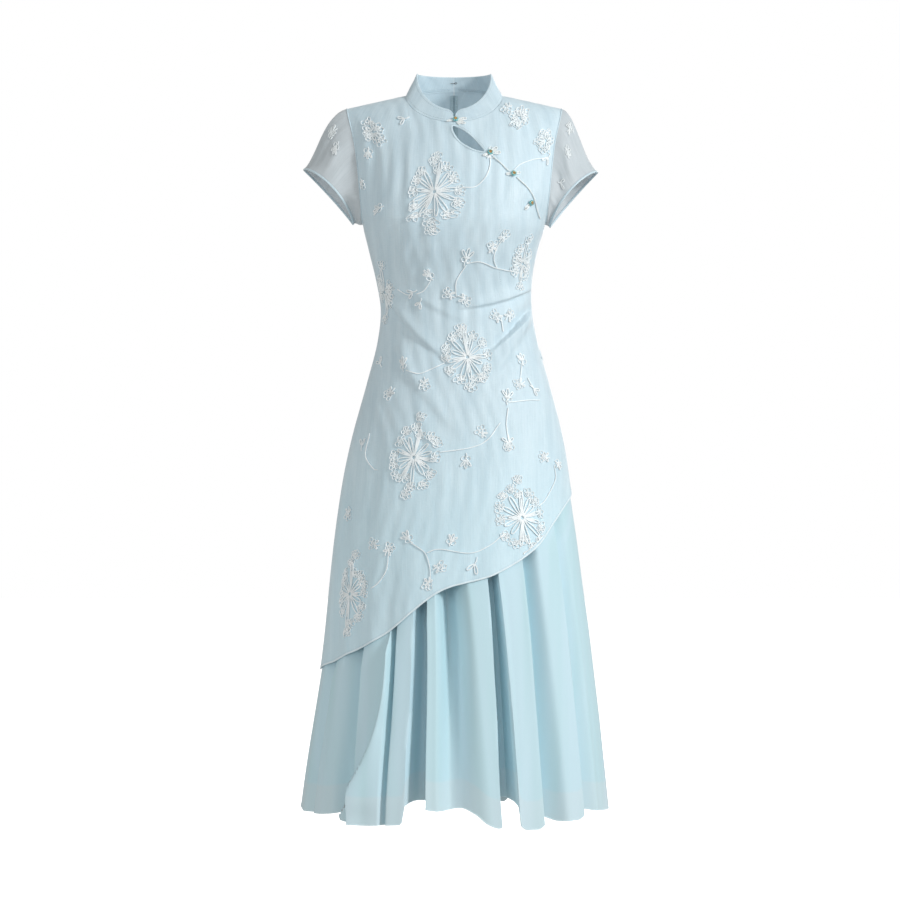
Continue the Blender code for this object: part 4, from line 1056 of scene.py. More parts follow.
def make_sleeve(name, front_points, back_points):
    """A short sleeve and its bound edge. Each line of it is a curve from armhole to cuff."""
    side, cap = SLEEVES[name][0], SLEEVES[name][-1]
    loop = armhole(side, front_points, back_points)
    cuff, out, over = cuff_ring(name, len(loop), CUFF_WIDTH + SEAM)
    leave = np.array([side * 0.977, 0, -0.215]) * over + out * (1 - over)
    reach = np.linalg.norm(cuff - loop, axis=1)[:, None]
    start = loop + leave * 2 * SEAM
    start[:, 2] += 2 * SEAM * (1 - over[:, 0])
    first = start + leave * np.minimum(cap, reach * 0.4)
    last = cuff - out * np.minimum(0.030, reach * 0.35)
    s = np.linspace(0, 1, 40)[:, None, None]
    rings = (1 - s) ** 3 * start + 3 * s * (1 - s) ** 2 * first
    rings = rings + 3 * s * s * (1 - s) * last + s**3 * cuff
    away = unit(unit(rings - rings.mean(axis=1, keepdims=True)) + 0.6 * grid_normals(rings, True))
    turn = np.linspace(0, 2 * math.pi, len(loop), endpoint=False)
    rings = rings + away * sleeve_folds(turn[None], s[..., 0], side)[..., None]
    weave = weave_grid(rings, True)
    down = np.concatenate([rings, rings[:, :1]], axis=1)
    weave[..., 1] = -np.linalg.norm(down - down[:1], axis=-1)
    ring_step = np.linalg.norm(np.diff(down, axis=1), axis=-1).mean(axis=0)
    weave[..., 0] = np.concatenate([[0], np.cumsum(ring_step)])
    sleeve = wall(f"sheer_{name}", rings, rings - away * SHEER_CLOTH, finish_sheer(),
                  "sheer", [name], closed=True, weave=weave)
    edge = cuff + out * (SEAM + CUFF_WIDTH / 2)
    ups = unit(edge - edge.mean(axis=0))
    middle = edge - ups * SHEER_CLOTH / 2
    roll = cords(middle[None], ups[None], (CUFF_WIDTH + 2 * SEAM) / 2, 12, True, 0.56)
    binding = put(f"{name}_rolled_cuff", *roll, finish("binding satin"), "binding",
                  [f"{name}_binding"])
    seam = loop + leave * SEAM
    roll = cords(seam[None], unit(seam - seam.mean(axis=0))[None], 0.0010, 8, True)
    cord = put(f"{name}_armhole_seam", *roll, finish("binding satin"), "binding")
    return rings, away


# Underskirt.


def fold_centres(z, folds):
    """Each fold's measures at a height, even from the overlay down to the hem."""
    f = table(folds, FOLD_COLUMNS)
    down = np.clip((FOLDS_START - z) / (FOLDS_START - SKIRT_HEM), 0, 1)[..., None]
    return [f[name] + (f["hem_" + name] - f[name]) * down
            for name in ("angle", "gentle", "steep", "depth")]


def fold_inset(angle, z, folds):
    """How far the skirt's troughs draw it in, and how far their edges stand up. On the gentle
    side of an edge, depth (1 + cos(pi t^bend)) / 2 with t the share of the gentle reach; past it
    (1 + cos(pi t)) / 2 over the steep width, then the cloth stands up by roll
    exp(-(past / 2.4)^2).
    """
    f = table(folds, FOLD_COLUMNS)
    centre, gentle, steep, depth = fold_centres(z, folds)
    started = np.clip((SKIRT_TOP - z) / (SKIRT_TOP - FOLDS_START), 0, 1)[..., None] ** 0.8
    away = (np.degrees(angle)[..., None] - centre) * f["side"]
    t = np.clip(np.where(away < 0, -away / gentle, away / steep), 0, 1)
    t = np.where(away < 0, t ** f["bend"], t)
    fall = depth * (1 + np.cos(math.pi * t)) / 2
    past = np.where(away > 0, away / steep - 1, -4)
    return (fall * started).sum(axis=-1), (f["roll"] * np.exp(-((past / 2.4) ** 2))).sum(axis=-1)


def fold_angles(z, folds):
    """The skirt's columns: 0.7 degrees apart, closer at every fold's edge and in front where the
    flap hangs. As the edges run down they turn, and each column with them by the hat functions
    of its neighbours.
    """
    f = table(folds, FOLD_COLUMNS)
    near = (f["side"] * f["steep"])[:, None]
    close = f["angle"][:, None] + near * np.array([0, 0.33, 0.66, 1.0, 1.6, 2.4])
    many = 70 if folds is FRONT_FOLDS else 30
    even = np.concatenate([np.linspace(-90, -48, 60, endpoint=False),
                           np.linspace(-48, -27, many, endpoint=False),
                           np.linspace(-27, 90, 168)])
    even = even[np.abs(even[:, None] - close.ravel()).min(axis=1) > 0.16]
    columns = np.sort(np.concatenate([even, close.ravel()]))
    knots = np.concatenate([[-90], f["angle"], [90]])
    hats = np.stack([np.interp(columns, knots, row) for row in np.eye(len(knots))[1:-1]])
    centre = fold_centres(z, folds)[0]
    return np.radians(columns + (centre - f["angle"]) @ hats)


def skirt_inset(z):
    """How far the underskirt hangs inside the overlay's outer face."""
    heights = (SKIRT_TOP, SKIRT_TOP - 0.04, -0.62, -0.90, -1.00, SKIRT_HEM - 0.02)
    insets = (0.0020, 0.0040, 0.0030, 0.0030, 0.0010, 0.0)
    return smooth(z, heights, insets)


def small_folds(angle, z):
    """Fine waves of thin cloth between the troughs, growing to the hem."""
    down = np.clip((-0.70 - z) / 0.45, 0, 1)
    wave = np.sin(angle * 31 + 2.2 * np.sin(angle * 7)) + 0.6 * np.sin(angle * 53 + 1.3)
    return 0.0006 * down * wave


def skirt_points(face, folds, hem, rows):
    """Outer points of half of the underskirt, its top row first, and how far each is from the
    hem. Under the overlay it is drawn in by its folds and by the overlay's own flutes, and no
    edge stands up. Below it, edges stand up, the turned one by high exp(-(degrees / width)^2).
    """
    shares = np.linspace(0, 1, rows + 1) ** 0.9
    turns, heights = zip(*hem)
    rough = SKIRT_TOP + (SKIRT_HEM - SKIRT_TOP) * shares
    angle = fold_angles(rough, folds)
    low = stepped(np.degrees(angle), turns, heights)
    z = SKIRT_TOP + (low - SKIRT_TOP) * shares[:, None]
    points = on_body(angle / (math.pi / 2), z, face)
    inset, proud = fold_inset(angle, np.broadcast_to(rough[:, None], z.shape), folds)
    inset += small_folds(angle, z)
    if face == FRONT:
        heights, turns = zip(*FOLD_EDGE)
        ridge = np.radians(smooth(z, heights, turns))
        flap = np.clip((FLAP_TOP - z) / FLAP_FADE, 0, 1)
        side = np.degrees(angle - ridge)
        right = FOLD_EDGE_RIGHT + FLAP_WIDER * flap
        side = np.where(side < 0, side / FOLD_EDGE_LEFT, side / right)
        proud += (FOLD_EDGE_HIGH + FLAP_HIGHER * flap) * np.exp(-side ** 2)
    below = np.clip((overlay_hem(angle / (math.pi / 2), face) - 0.004 - z) / 0.03, 0, 1)
    level = np.degrees(angle)
    over = np.maximum(inset, 0) - flutes(level, z, FRONT_FLUTES if face == FRONT else BACK_FLUTES)
    inset = over * (1 - below) + (inset - proud) * below
    inset = inset * np.clip((math.pi / 2 - np.abs(angle)) / 0.2, 0, 1) + skirt_inset(z)
    points = points - outward(points) * inset[..., None]
    points[:, [0, -1], 1] = face * SEAM / 2
    return points, z - low


def make_skirt(name, face, folds, hem):
    """Half of the underskirt and the rolled hem along its lower edge. Gives its outer points."""
    outer, from_hem = skirt_points(face, folds, hem, rows=90)
    inner = behind(outer - grid_normals(outer) * CLOTH, face)
    weave = weave_grid(outer)
    weave[..., 1] = from_hem
    skirt = wall(f"chiffon_{name}", outer, inner, finish_chiffon(), "chiffon", [name],
                 weave=weave)
    ups = grid_normals(outer)[-1]
    middle = outer[-1] - ups * CLOTH / 2
    middle[[0, -1], 1] = face * CLOTH
    roll = put(f"chiffon_{name}_rolled_hem", *cords(middle[None], ups[None], 0.0011, 6),
               finish("chiffon rolled edge"), "chiffon")
    return outer


SEAM_BAND_HALF_WIDTH = 0.0035
SEAM_BAND_INSIDE = 0.0007


def make_side_seams(outer):
    """A flat band inside each side seam of the skirt, over the join of its halves."""
    edges = outer[4:-1, [0, -1]].transpose(1, 0, 2).copy()
    ups = np.sign(edges) * (1, 0, 0)
    edges = edges * (1, 0, 1) - ups * (CLOTH + SEAM_BAND_INSIDE)
    put("chiffon_side_seams", *cords(edges, ups, SEAM_BAND_HALF_WIDTH, 8, flat=0.12),
        finish("chiffon rolled edge"), "chiffon")


# Buttons, loops and piping.


def flat_frame(x, z):
    """A point of the front, its normal, and level and upright directions in the cloth there."""
    point, up = on_front(np.array([x]), np.array([z]))
    across = unit(np.cross(np.array([[0, 0, 1.0]]), up))
    across = across * np.sign(across[:, :1])
    return point[0], up[0], across[0], unit(np.cross(up, across))[0]


# A button's profile from the middle of its foot to the middle of its hollow, as shares of its
# radius and height. Then its grains as rings of balls: count, reach, size.
BEAD_PROFILE = ((0.02, 0), (0.80, 0), (0.93, 0.12), (1.0, 0.34), (0.97, 0.62), (0.86, 0.84),
                (0.70, 0.94), (0.55, 0.92), (0.44, 0.84), (0.30, 0.80), (0.02, 0.80))
BEAD_GRAINS = ((1, 0.0, 0.00075), (6, 0.0012, 0.00062), (11, 0.00235, 0.00052))


def make_button(name, x, z):
    """A flower of eight petals round a hollow middle, filled with grains: radius
    R (1 + 0.09 cos 8a) / 1.09 over a profile that rises from its flat foot to a rounded rim and
    dips in the middle. The rim is lower by a tenth between the petals.
    """
    point, up, across, level = flat_frame(x, z)
    base = point + up * BEAD_LIFT
    turn = np.linspace(0, 2 * math.pi, 64, endpoint=False)
    r, h = np.array(BEAD_PROFILE).T[..., None]
    petal = 1 + 0.09 * np.cos(8 * turn) * np.clip((r - 0.4) / 0.6, 0, 1)
    groove = 1 - 0.10 * np.clip(-np.cos(8 * turn), 0, 1) * (r > 0.5) * (r < 0.99)
    radius = BEAD_RADIUS * r * petal / 1.09
    points = (base + radius[..., None] * (np.cos(turn)[:, None] * across
              + np.sin(turn)[:, None] * level) + up * (BEAD_HEIGHT * h * groove)[..., None])
    index = np.arange(radius.size).reshape(radius.shape)
    faces = [ring_quads(index[:-1], index[1:]), index[:1, ::-1], index[-1:]]
    put(f"button_{name}", points, faces, finish("turquoise glaze"), "bead", [f"bead_{name}"])
    top = base + up * BEAD_HEIGHT * 0.80
    grains = []
    for count, reach, size in BEAD_GRAINS:
        a = np.arange(count) * 2 * math.pi / count
        centre = top + reach * (np.cos(a)[:, None] * across + np.sin(a)[:, None] * level)
        centre = centre + up * (0.0007 - 0.12 * reach)
        grains.append(balls(centre, np.full(count, size)))
    put(f"button_{name}_grains", *joined(grains), finish("amber gilt"), "bead_eye",
        [f"bead_{name}_eye"])


def balls(centres, radii, around_count=8, rows=5):
    """Small balls: centre + r (cos b cos a, cos b sin a, sin b), their poles closed by a face."""
    a = np.arange(around_count) * 2 * math.pi / around_count
    b = np.linspace(-1.25, 1.25, rows)[:, None]
    shape = np.stack(np.broadcast_arrays(np.cos(b) * np.cos(a), np.cos(b) * np.sin(a), np.sin(b)),
                     axis=-1)
    points = centres[:, None, None] + radii[:, None, None, None] * shape
    index = np.arange(points[..., 0].size).reshape(len(centres), rows, around_count)
    quads = ring_quads(index[:, :-1], index[:, 1:])
    return points.reshape(-1, 3), [quads, index[:, 0, ::-1], index[:, -1]]


def compass(angles):
    """Unit steps (cos a, sin a) at angles."""
    return np.stack([np.cos(angles), np.sin(angles)], axis=-1)


def turned_by(along, across, angles):
    """Offsets along and across angles in radians, as offsets in x and z."""
    cos, sin = np.cos(angles), np.sin(angles)
    return np.stack([along * cos - across * sin, along * sin + across * cos], axis=-1)


def drop_loops(lengths, widths, angles, count=24, start=0.0015):
    """Drop-shaped loops as offsets (n, count, 2): along = r0 + (L - r0)(1 - cos 2 pi s) / 2 and
    across = w sin(2 pi s) ((1 - cos 2 pi s) / 2)^0.5, turned by each loop's angle.
    """
    s = np.linspace(0, 1, count)
    out = (1 - np.cos(2 * math.pi * s)) / 2
    lengths, widths, angles = (np.asarray(v, float)[:, None] for v in (lengths, widths, angles))
    along = start + (lengths - start) * out
    across = widths * np.sin(2 * math.pi * s) * np.sqrt(out)
    return turned_by(along, across, angles)


# The nested cords of a closing's loop: size, radius, how far each stands over the first.
FROG_CORDS = ((0.96, 0.0009, 0.0), (0.62, 0.0008, 0.0001), (0.34, 0.0007, 0.0002))


def make_frog(name, x, z, index, degrees, length, width):
    """One loop of the closing: three nested loops of round cord."""
    angle = math.radians(degrees)
    parts = []
    for size, radius, lift in FROG_CORDS:
        loop = drop_loops([length * (0.35 + 0.62 * size)], [width * 0.5 * size], [angle], 44)[0]
        point, up = on_front(x + loop[:, 0], z + loop[:, 1])
        path = point + up * (LAID_ON + radius + lift)
        parts.append(cords(path[None], up[None], radius, 8))
    put(f"loop_{name}_{index}", *joined(parts), finish("white silk cord"), "cord",
        [f"frog_{name}_{index}"])


def twisted(path, up, radius, strand, pitch, sides=6):
    """Two strands wound round a path: path + r (cos w across + sin w above), w = 2 pi s / pitch."""
    ahead = unit(np.gradient(path, axis=0))
    across = unit(np.cross(ahead, up))
    above = np.cross(across, ahead)
    parts = []
    for phase in (0, math.pi):
        w = 2 * math.pi * run_along(path) / pitch + phase
        line = path + radius * (np.cos(w)[:, None] * across + np.sin(w)[:, None] * above)
        parts.append(cords(line[None], up[None], strand, sides))
    return joined(parts)


def make_piping():
    """The twisted cords between the buttons, each along a smooth line on the front."""
    for name, route in PIPING.items():
        x, z = np.array(route).T
        at = np.arange(len(route))
        fine = np.linspace(0, at[-1], 90 * at[-1] + 1)
        point, up = on_front(smooth(fine, at, x), smooth(fine, at, z))
        path = point + up * (PIPING_CORD + LAID_ON)
        put(f"twisted_{name}", *twisted(path, up, 0.00048, 0.00062, 0.0034),
            finish("white silk cord"), "cord", [name])


def make_buttons():
    """The four buttons, each with its own loops."""
    for name, (x, z, loops) in FROGS.items():
        make_button(name, x, z)
        for i, loop in enumerate(loops):
            make_frog(name, x, z, i + 1, *loop)


# Embroidery.


def oval(angles, wide, high):
    """The reach of a bloom at an angle: (|cos a / w|^1.45 + |sin a / h|^1.45)^(-1 / 1.45)."""
    p = 1.45
    return (np.abs(np.cos(angles) / wide) ** p + np.abs(np.sin(angles) / high) ** p) ** (-1 / p)


def rings(centres, ways, size, count=9):
    """Small oval loops of thread as offsets (n, count, 2): middle + size (1.12 cos a along its
    way + 0.88 sin a across it).
    """
    a = np.arange(count) * 2 * math.pi / count
    size = np.broadcast_to(size, len(centres))[:, None]
    return centres[:, None] + turned_by(1.12 * size * np.cos(a), 0.88 * size * np.sin(a),
                                        ways[:, None])


def floret(place, angle, chance, count):
    """Loops of a flower head that opens along an angle: a near row of half of them over 143
    degrees and a far row over 83. Gives their middles and the ways they point.
    """
    near = math.ceil(count * 0.5)
    fan = np.concatenate([np.linspace(-1.25, 1.25, near), np.linspace(-0.72, 0.72, count - near)])
    ways = angle + fan + chance.uniform(-0.16, 0.16, count)
    away = KNOT * np.where(np.arange(count) < near, 1.0, 2.35) * chance.uniform(0.9, 1.1, count)
    return place + away[:, None] * compass(ways), ways


# Flower heads of a bloom, the ones that small blooms keep first: degrees round, share of the
# bloom's reach, loops.
HEADS = (
    (88, 1, 8), (268, 1, 8), (36, 1, 8), (146, 1, 8), (210, 1, 8), (326, 1, 8), (176, 0.96, 8),
    (4, 0.98, 7), (118, 0.98, 8), (300, 0.98, 8), (62, 0.98, 7), (240, 0.98, 7), (94, 0.82, 8),
    (274, 0.82, 8), (80, 0.64, 7), (262, 0.64, 7),
)
PETALS = 13
FULL_BLOOM = 0.050


def bloom(wide, high, turned, seed):
    """Threads of one bloom as offsets from its middle: long drop loops all round, some of them
    with a vein, then flower heads of oval loops past them, three deep at the top and the foot.
    Small blooms have fewer of each.
    """
    chance = np.random.default_rng(seed)
    full = min(1, math.sqrt(wide * high) / FULL_BLOOM)
    petals = round(PETALS * full)
    angle = (np.arange(petals) + chance.uniform(-0.24, 0.24, petals)) * 2 * math.pi / petals
    reach = np.maximum(oval(angle, wide, high), 0.74 * min(wide, high))
    long = reach * chance.uniform(0.62, 0.84, petals)
    loops = [drop_loops(long, chance.uniform(0.0028, 0.0040, petals), angle, 24, 0.0026),
             drop_loops(long[::3] * 0.72, np.full(len(long[::3]), 0.0005), angle[::3], 24, 0.006)]
    degrees, share, sizes = np.array(HEADS[:round(len(HEADS) * full)]).T
    heads = np.radians(degrees)
    heads = heads + chance.uniform(-0.10, 0.10, len(heads))
    ends = oval(heads, wide, high) * share * chance.uniform(0.95, 1.05, len(heads))
    ends = np.maximum(ends - 2.9 * KNOT, 2.0 * KNOT)
    tips = ends[:, None] * compass(heads)
    sizes = [round(count * (0.35 + 0.65 * full)) for count in sizes]
    bunches = [floret(tip, a, chance, count) for tip, a, count in zip(tips, heads, sizes)]
    middles, ways = (np.concatenate(part) for part in zip(*bunches))
    knots = rings(middles, ways, KNOT * chance.uniform(0.85, 1.15, len(middles)))
    return turn_by(np.concatenate(loops), turned), turn_by(knots, turned)


def turn_by(offsets, degrees):
    """Offsets turned by so many degrees."""
    return turned_by(offsets[..., 0], offsets[..., 1], math.radians(degrees))


# Loops of a sprig's kinds: lengths, widths, angles, start. A "head" also has a flower head.
SPRIG_LOOPS = {
    "head": ((0.0075, 0.0075), (0.0014, 0.0014), (2.3, -2.3), 0.0010),
    "bud": ((0.012, 0.013, 0.012), (0.0018, 0.0022, 0.0018), (-0.62, 0.0, 0.62), 0.0006),
    "leaf": ((0.014, 0.013), (0.0026, 0.0024), (0.5, -0.55), 0.0006),
}


def sprig(kind, degrees, size, seed):
    """Threads of one sprig as offsets from its middle, opening along its angle."""
    chance = np.random.default_rng(seed)
    s = np.linspace(0, 1, 24)
    stalk = np.stack([-0.009 + 0.009 * s, 0.0010 * np.sin(math.pi * s)], axis=-1)[None]
    lengths, widths, angles, start = SPRIG_LOOPS[kind]
    loops = np.concatenate([stalk, drop_loops(lengths, widths, angles, 24, start)])
    middles, ways = np.zeros((0, 2)), np.zeros(0)
    if kind == "head":
        middles, ways = floret(np.array([0.0, 0.0]), 0, chance, round(5.5 * size**1.3))
    elif kind == "bud":
        middles, ways = np.array([(-0.0015, 0.0040), (-0.0015, -0.0040)]), np.array([0.7, -0.7])
    return turn_by(loops * size, degrees), turn_by(rings(middles, ways, KNOT * 0.95), degrees)


def placed(x, z, face):
    """A place on the body as a share round it, past 1 on the back, and a height."""
    u = np.clip(share_at(np.asarray(x), np.asarray(z)), -0.985, 0.985)
    return (u if face == FRONT else np.sign(u) * (2 - np.abs(u))), np.asarray(z)


def spread_over(offsets, x, z, face):
    """Offsets in metres along the cloth round a place, as shares and heights of the cloth."""
    u0, z0 = placed(x, z, face)
    if face == BACK:
        offsets = offsets * (-1, 1)
    near = np.array([u0 - 0.01, u0 + 0.01])
    length = np.linalg.norm(np.diff(around(near, np.array([z0, z0])), axis=0)) / 0.02
    return u0 + offsets[..., 0] / length, z0 + offsets[..., 1]


def keep_on_cloth(u, z):
    """Keeps threads inside the overlay's hem, the armholes and the centre back, each whole
    thread on the face that its middle lies on.
    """
    in_front = np.abs(u.mean(axis=-1, keepdims=True)) <= 1
    z = np.maximum(z, hem_around(u) + 0.005)
    upper = z > UNDERARM - 0.004
    u = np.where(upper & in_front, np.clip(u, -0.965, 0.965), u)
    u = np.where(upper & ~in_front, np.sign(u) * np.maximum(np.abs(u), 1.035), u)
    return np.clip(u, -1.93, 1.93), z


def threads_on(u, z, radius, closed=False, sides=4):
    """Raised threads along lines of the cloth, drawn to a point at open ends."""
    u, z = keep_on_cloth(u, z)
    path, up = around(u, z), around_normals(u, z)
    thick = np.full(u.shape[1], radius)
    if not closed:
        thick[[0, -1]] *= 0.55
    return cords(path + up * radius * 1.10, up, thick, sides, closed)


def make_embroidery(name, face, blooms, sprigs, vines, seed):
    """The white cord embroidery of one side: blooms, sprigs and vines as raised threads."""
    motifs = [(x, z, bloom(wide / 1000, high / 1000, turned, seed + i))
              for i, (x, z, wide, high, turned) in enumerate(blooms)]
    motifs += [(x, z, sprig(kind, degrees, size, seed + 50 + i))
               for i, (x, z, kind, degrees, size) in enumerate(sprigs)]
    loops, knots = ([spread_over(shapes[i], x / 1000, z / 1000, face)
                     for x, z, shapes in motifs if len(shapes[i])] for i in (0, 1))
    lines = []
    for route in vines:
        x, z = np.array(route).T / 1000
        at = np.arange(len(route))
        fine = np.linspace(0, at[-1], 48)
        lines.append(placed(smooth(fine, at, x), smooth(fine, at, z), face))
    parts = [threads_on(*map(np.concatenate, zip(*loops)), THREAD),
             threads_on(*map(np.concatenate, zip(*knots)), KNOT_THREAD, True, 3),
             threads_on(*map(np.array, zip(*lines)), VINE_THREAD)]
    put(name, *joined(parts), finish("white silk thread"), "cord")


def make_sleeve_embroidery(name, grid, away, motifs, seed):
    """Small sprigs on a sleeve, placed by a row and a column of its grid and read between them."""
    rows, columns = grid.shape[:2]
    parts = []
    for k, (row, column, kind, degrees, size) in enumerate(motifs):
        loops, knots = sprig(kind, degrees, size, seed + k)
        i, j = row * (rows - 1), column * columns
        here = grid[int(i), int(j) % columns]
        step_i = np.linalg.norm(grid[int(i) + 1, int(j) % columns] - here)
        step_j = np.linalg.norm(grid[int(i), (int(j) + 1) % columns] - here)
        for shape, closed, radius in ((loops, False, THREAD), (knots, True, SLEEVE_KNOT_THREAD)):
            if not len(shape):
                continue
            a = np.clip(i - shape[..., 1] / step_i, 0, rows - 1.001)
            b = (j + shape[..., 0] / step_j) % columns
            i0, j0 = a.astype(int), b.astype(int)
            j1, s, t = (j0 + 1) % columns, (a - i0)[..., None], (b - j0)[..., None]

            def read(values):
                low = values[i0, j0] * (1 - t) + values[i0, j1] * t
                high = values[i0 + 1, j0] * (1 - t) + values[i0 + 1, j1] * t
                return low * (1 - s) + high * s

            up = unit(read(away))
            parts.append(cords(read(grid) + up * radius * 0.55, up, radius, 4, closed))
    put(f"{name}_sprigs", *joined(parts), finish("pale silk thread"), "cord")


# Sewing and the zip.


def stitch_row(point, up, length=0.0024, gap=0.0012, radius=0.00028):
    """Single stitches along a line of the cloth: short cords, each over the length of a stitch."""
    along = run_along(point)
    starts = np.arange(0, along[-1] - length, length + gap)
    at = starts[:, None] + np.linspace(0, length, 5)
    path, ups = read_line(at, along, point), unit(read_line(at, along, up))
    rise = radius * (0.2 + 0.9 * np.sin(np.linspace(0, math.pi, 5)))[:, None]
    return cords(path + ups * rise, ups, radius, 3)


def level_out(grid, row):
    """The level way out of a collar along one row of its grid."""
    away = unit(grid_normals(grid)[row] * (1, 1, 0))
    return away * np.sign((away * grid[row] * (1, 1, 0)).sum(axis=-1))[:, None]


def make_stitches(keyhole_line, collars):
    """Rows of stitches: round the keyhole, down the front darts, along the overlay's hem, and
    inside and outside the collar.
    """
    closed = np.concatenate([keyhole_line, keyhole_line[:1]])
    point, up = on_front(closed[:, 0], closed[:, 1])
    parts = [stitch_row(point + up * 0.0012, up, 0.0018, 0.0010, 0.00022)]
    for points in FRONT_DARTS:
        x, down = np.array(points).T
        z = np.linspace(down.min() + 0.006, down.max() - 0.006, 120)
        u = share_at(smooth(z, down, x), z)
        parts.append(stitch_row(around(u, z), around_normals(u, z), 0.002, 0.0016, 0.0002))
    turn = np.linspace(-2, 2, 900, endpoint=False)
    hem = hem_around(turn) + 0.0022
    parts.append(stitch_row(around(turn, hem), around_normals(turn, hem), 0.0024, 0.0016, 0.0002))
    put("bodice_stitches", *joined(parts), finish("blue sewing thread"), "cord")
    parts = []
    for grid in collars:
        away = level_out(grid, 2)
        for row, radius in ((1, 0.0005), (3, 0.0004)):
            inside = grid[row] - away * (COLLAR_CLOTH + 0.0001)
            parts.append(stitch_row(inside[2:-2], -away[2:-2], 0.0022, 0.0009, radius))
        for row in (3, 17):
            away = level_out(grid, row)
            parts.append(stitch_row(grid[row, 2:-2], away[2:-2], 0.0020, 0.0012, 0.00022))
    put("collar_stitches", *joined(parts), finish("blue sewing thread"), "cord")


def make_zip(back_points):
    """The zip inside the centre back: a woven tape, and two coils wound along its middle."""
    centre, beside_it = back_points[:, 0], back_points[:, 4]
    rows = (centre[:, 2] > ZIP_BOTTOM) & (centre[:, 2] < ZIP_TOP)
    share = ZIP_HALF_WIDTH / np.abs(beside_it[:, 0:1])
    edge = centre + (beside_it - centre) * share
    spread = np.linspace(-1, 1, 9)[None, :, None]
    grid = centre[:, None] * (0, 1, 1) + (edge - centre)[:, None] * (0, 1, 1) * spread**2
    grid = grid + spread * ZIP_HALF_WIDTH * np.array([1.0, 0, 0])
    grid = grid[rows]
    away = grid_normals(grid)
    away = np.where(away[..., 1:2] < 0, -away, away)
    outer = grid - away * (CLOTH + 2 * SEAM)
    wall("woven_zip_tape", outer, outer - away * ZIP_CLOTH, finish("woven zip tape"), "tape",
         ["zip_tape"])
    line = (outer - away * ZIP_CLOTH)[:, 4]
    along = run_along(line)
    pitch, parts = 0.0016, []
    at = np.arange(0, along[-1], pitch / 7)
    path, inner = read_line(at, along, line), unit(read_line(at, along, -away[:, 4]))
    for side in (-1, 1):
        w = 2 * math.pi * at / pitch + (math.pi if side > 0 else 0)
        coil = path + inner * (0.0007 + 0.00045 * np.sin(w))[:, None]
        coil[:, 0] += side * (0.0008 + 0.0009 * np.cos(w))
        parts.append(cords(coil[None], inner[None], 0.00024, 3))
    put("zip_coils", *joined(parts), finish("woven zip tape"), "tape")


# Finishes.


def add(tree, kind, settings=None, **sockets):
    """A node of one kind. A socket takes a number, a colour or another node's output."""
    node = tree.nodes.new(kind)
    for name, value in (settings or {}).items():
        setattr(node, name, value)
    for name, value in sockets.items():
        socket = node.inputs[int(name[1:])] if name[1:].isdigit() else node.inputs[
            name.replace("_", " ")]
        if isinstance(value, bpy.types.NodeSocket):
            tree.links.new(value, socket)
        else:
            socket.default_value = value
    return node.outputs[0]


def start_finish(name, roughness, sheen=0.0, sheen_roughness=0.4, metallic=0.0, coat=0.0,
                 alpha=1.0, specular=0.35):
    """A new material with what is the same all over set on the shader itself."""
    material = bpy.data.materials.new(name)
    material.use_nodes = True
    shader = material.node_tree.nodes["Principled BSDF"]
    for socket, value in (("Roughness", roughness), ("Sheen Weight", sheen),
                          ("Sheen Roughness", sheen_roughness), ("Metallic", metallic),
                          ("Coat Weight", coat), ("Alpha", alpha),
                          ("Specular IOR Level", specular)):
        shader.inputs[socket].default_value = value
    return material, material.node_tree, shader


def object_place(tree):
    """Places in the piece's own metres."""
    return tree.nodes.new("ShaderNodeTexCoord").outputs["Object"]


def weave_map(tree):
    """Places on the cloth, from the piece's weave map."""
    return add(tree, "ShaderNodeUVMap", {"uv_map": "weave"})


def noise(tree, place, scale, detail=3.0, roughness=0.55):
    """Soft random grain, so many grains to a metre."""
    return add(tree, "ShaderNodeTexNoise", Vector=place, Scale=scale, Detail=detail,
               Roughness=roughness)


def woven(tree, across, down, detail=2.0, roughness=0.55):
    """Noise drawn out across and down the cloth."""
    place = add(tree, "ShaderNodeMapping", Vector=weave_map(tree), Scale=(across, down, 1.0))
    return noise(tree, place, 1.0, detail, roughness)


def fade(tree, vector, axis, start, end, most):
    """A soft step from 0 at start to most at end, along one axis of a place."""
    value = add(tree, "ShaderNodeSeparateXYZ", Vector=vector).node.outputs[axis]
    return add(tree, "ShaderNodeMapRange", {"interpolation_type": "SMOOTHSTEP"}, _0=value,
               _1=start, _2=end, _3=0.0, _4=most)


def blend(tree, factor, dark, light, low=0.35, high=0.65):
    """A colour between two, by a pattern read between low and high."""
    ramp = tree.nodes.new("ShaderNodeValToRGB")
    ramp.color_ramp.elements[0].position = low
    ramp.color_ramp.elements[1].position = high
    ramp.color_ramp.elements[0].color = (*dark, 1)
    ramp.color_ramp.elements[1].color = (*light, 1)
    tree.links.new(factor, ramp.inputs[0])
    return ramp.outputs[0]


def mix(tree, factor, first, second, mode="MIX"):
    """A colour between two, or their product, by a factor."""
    node = tree.nodes.new("ShaderNodeMix")
    node.data_type = "RGBA"
    node.blend_type = mode
    for index, value in ((0, factor), (6, first), (7, second)):
        if isinstance(value, bpy.types.NodeSocket):
            tree.links.new(value, node.inputs[index])
        else:
            node.inputs[index].default_value = value
    return node.outputs[2]


def total(tree, *values):
    """A sum of patterns, each a (weight, output)."""
    result = None
    for weight, value in values:
        part = add(tree, "ShaderNodeMath", {"operation": "MULTIPLY"}, _0=value, _1=weight)
        result = part if result is None else add(tree, "ShaderNodeMath", {"operation": "ADD"},
                                                 _0=result, _1=part)
    return result


def set_colour(tree, shader, colour):
    """Gives the shader its colour."""
    tree.links.new(colour, shader.inputs["Base Color"])


def set_bump(tree, shader, height, strength, distance):
    """Gives the shader a bump from a pattern."""
    bump = add(tree, "ShaderNodeBump", Height=height, Strength=strength, Distance=distance)
    tree.links.new(bump, shader.inputs["Normal"])


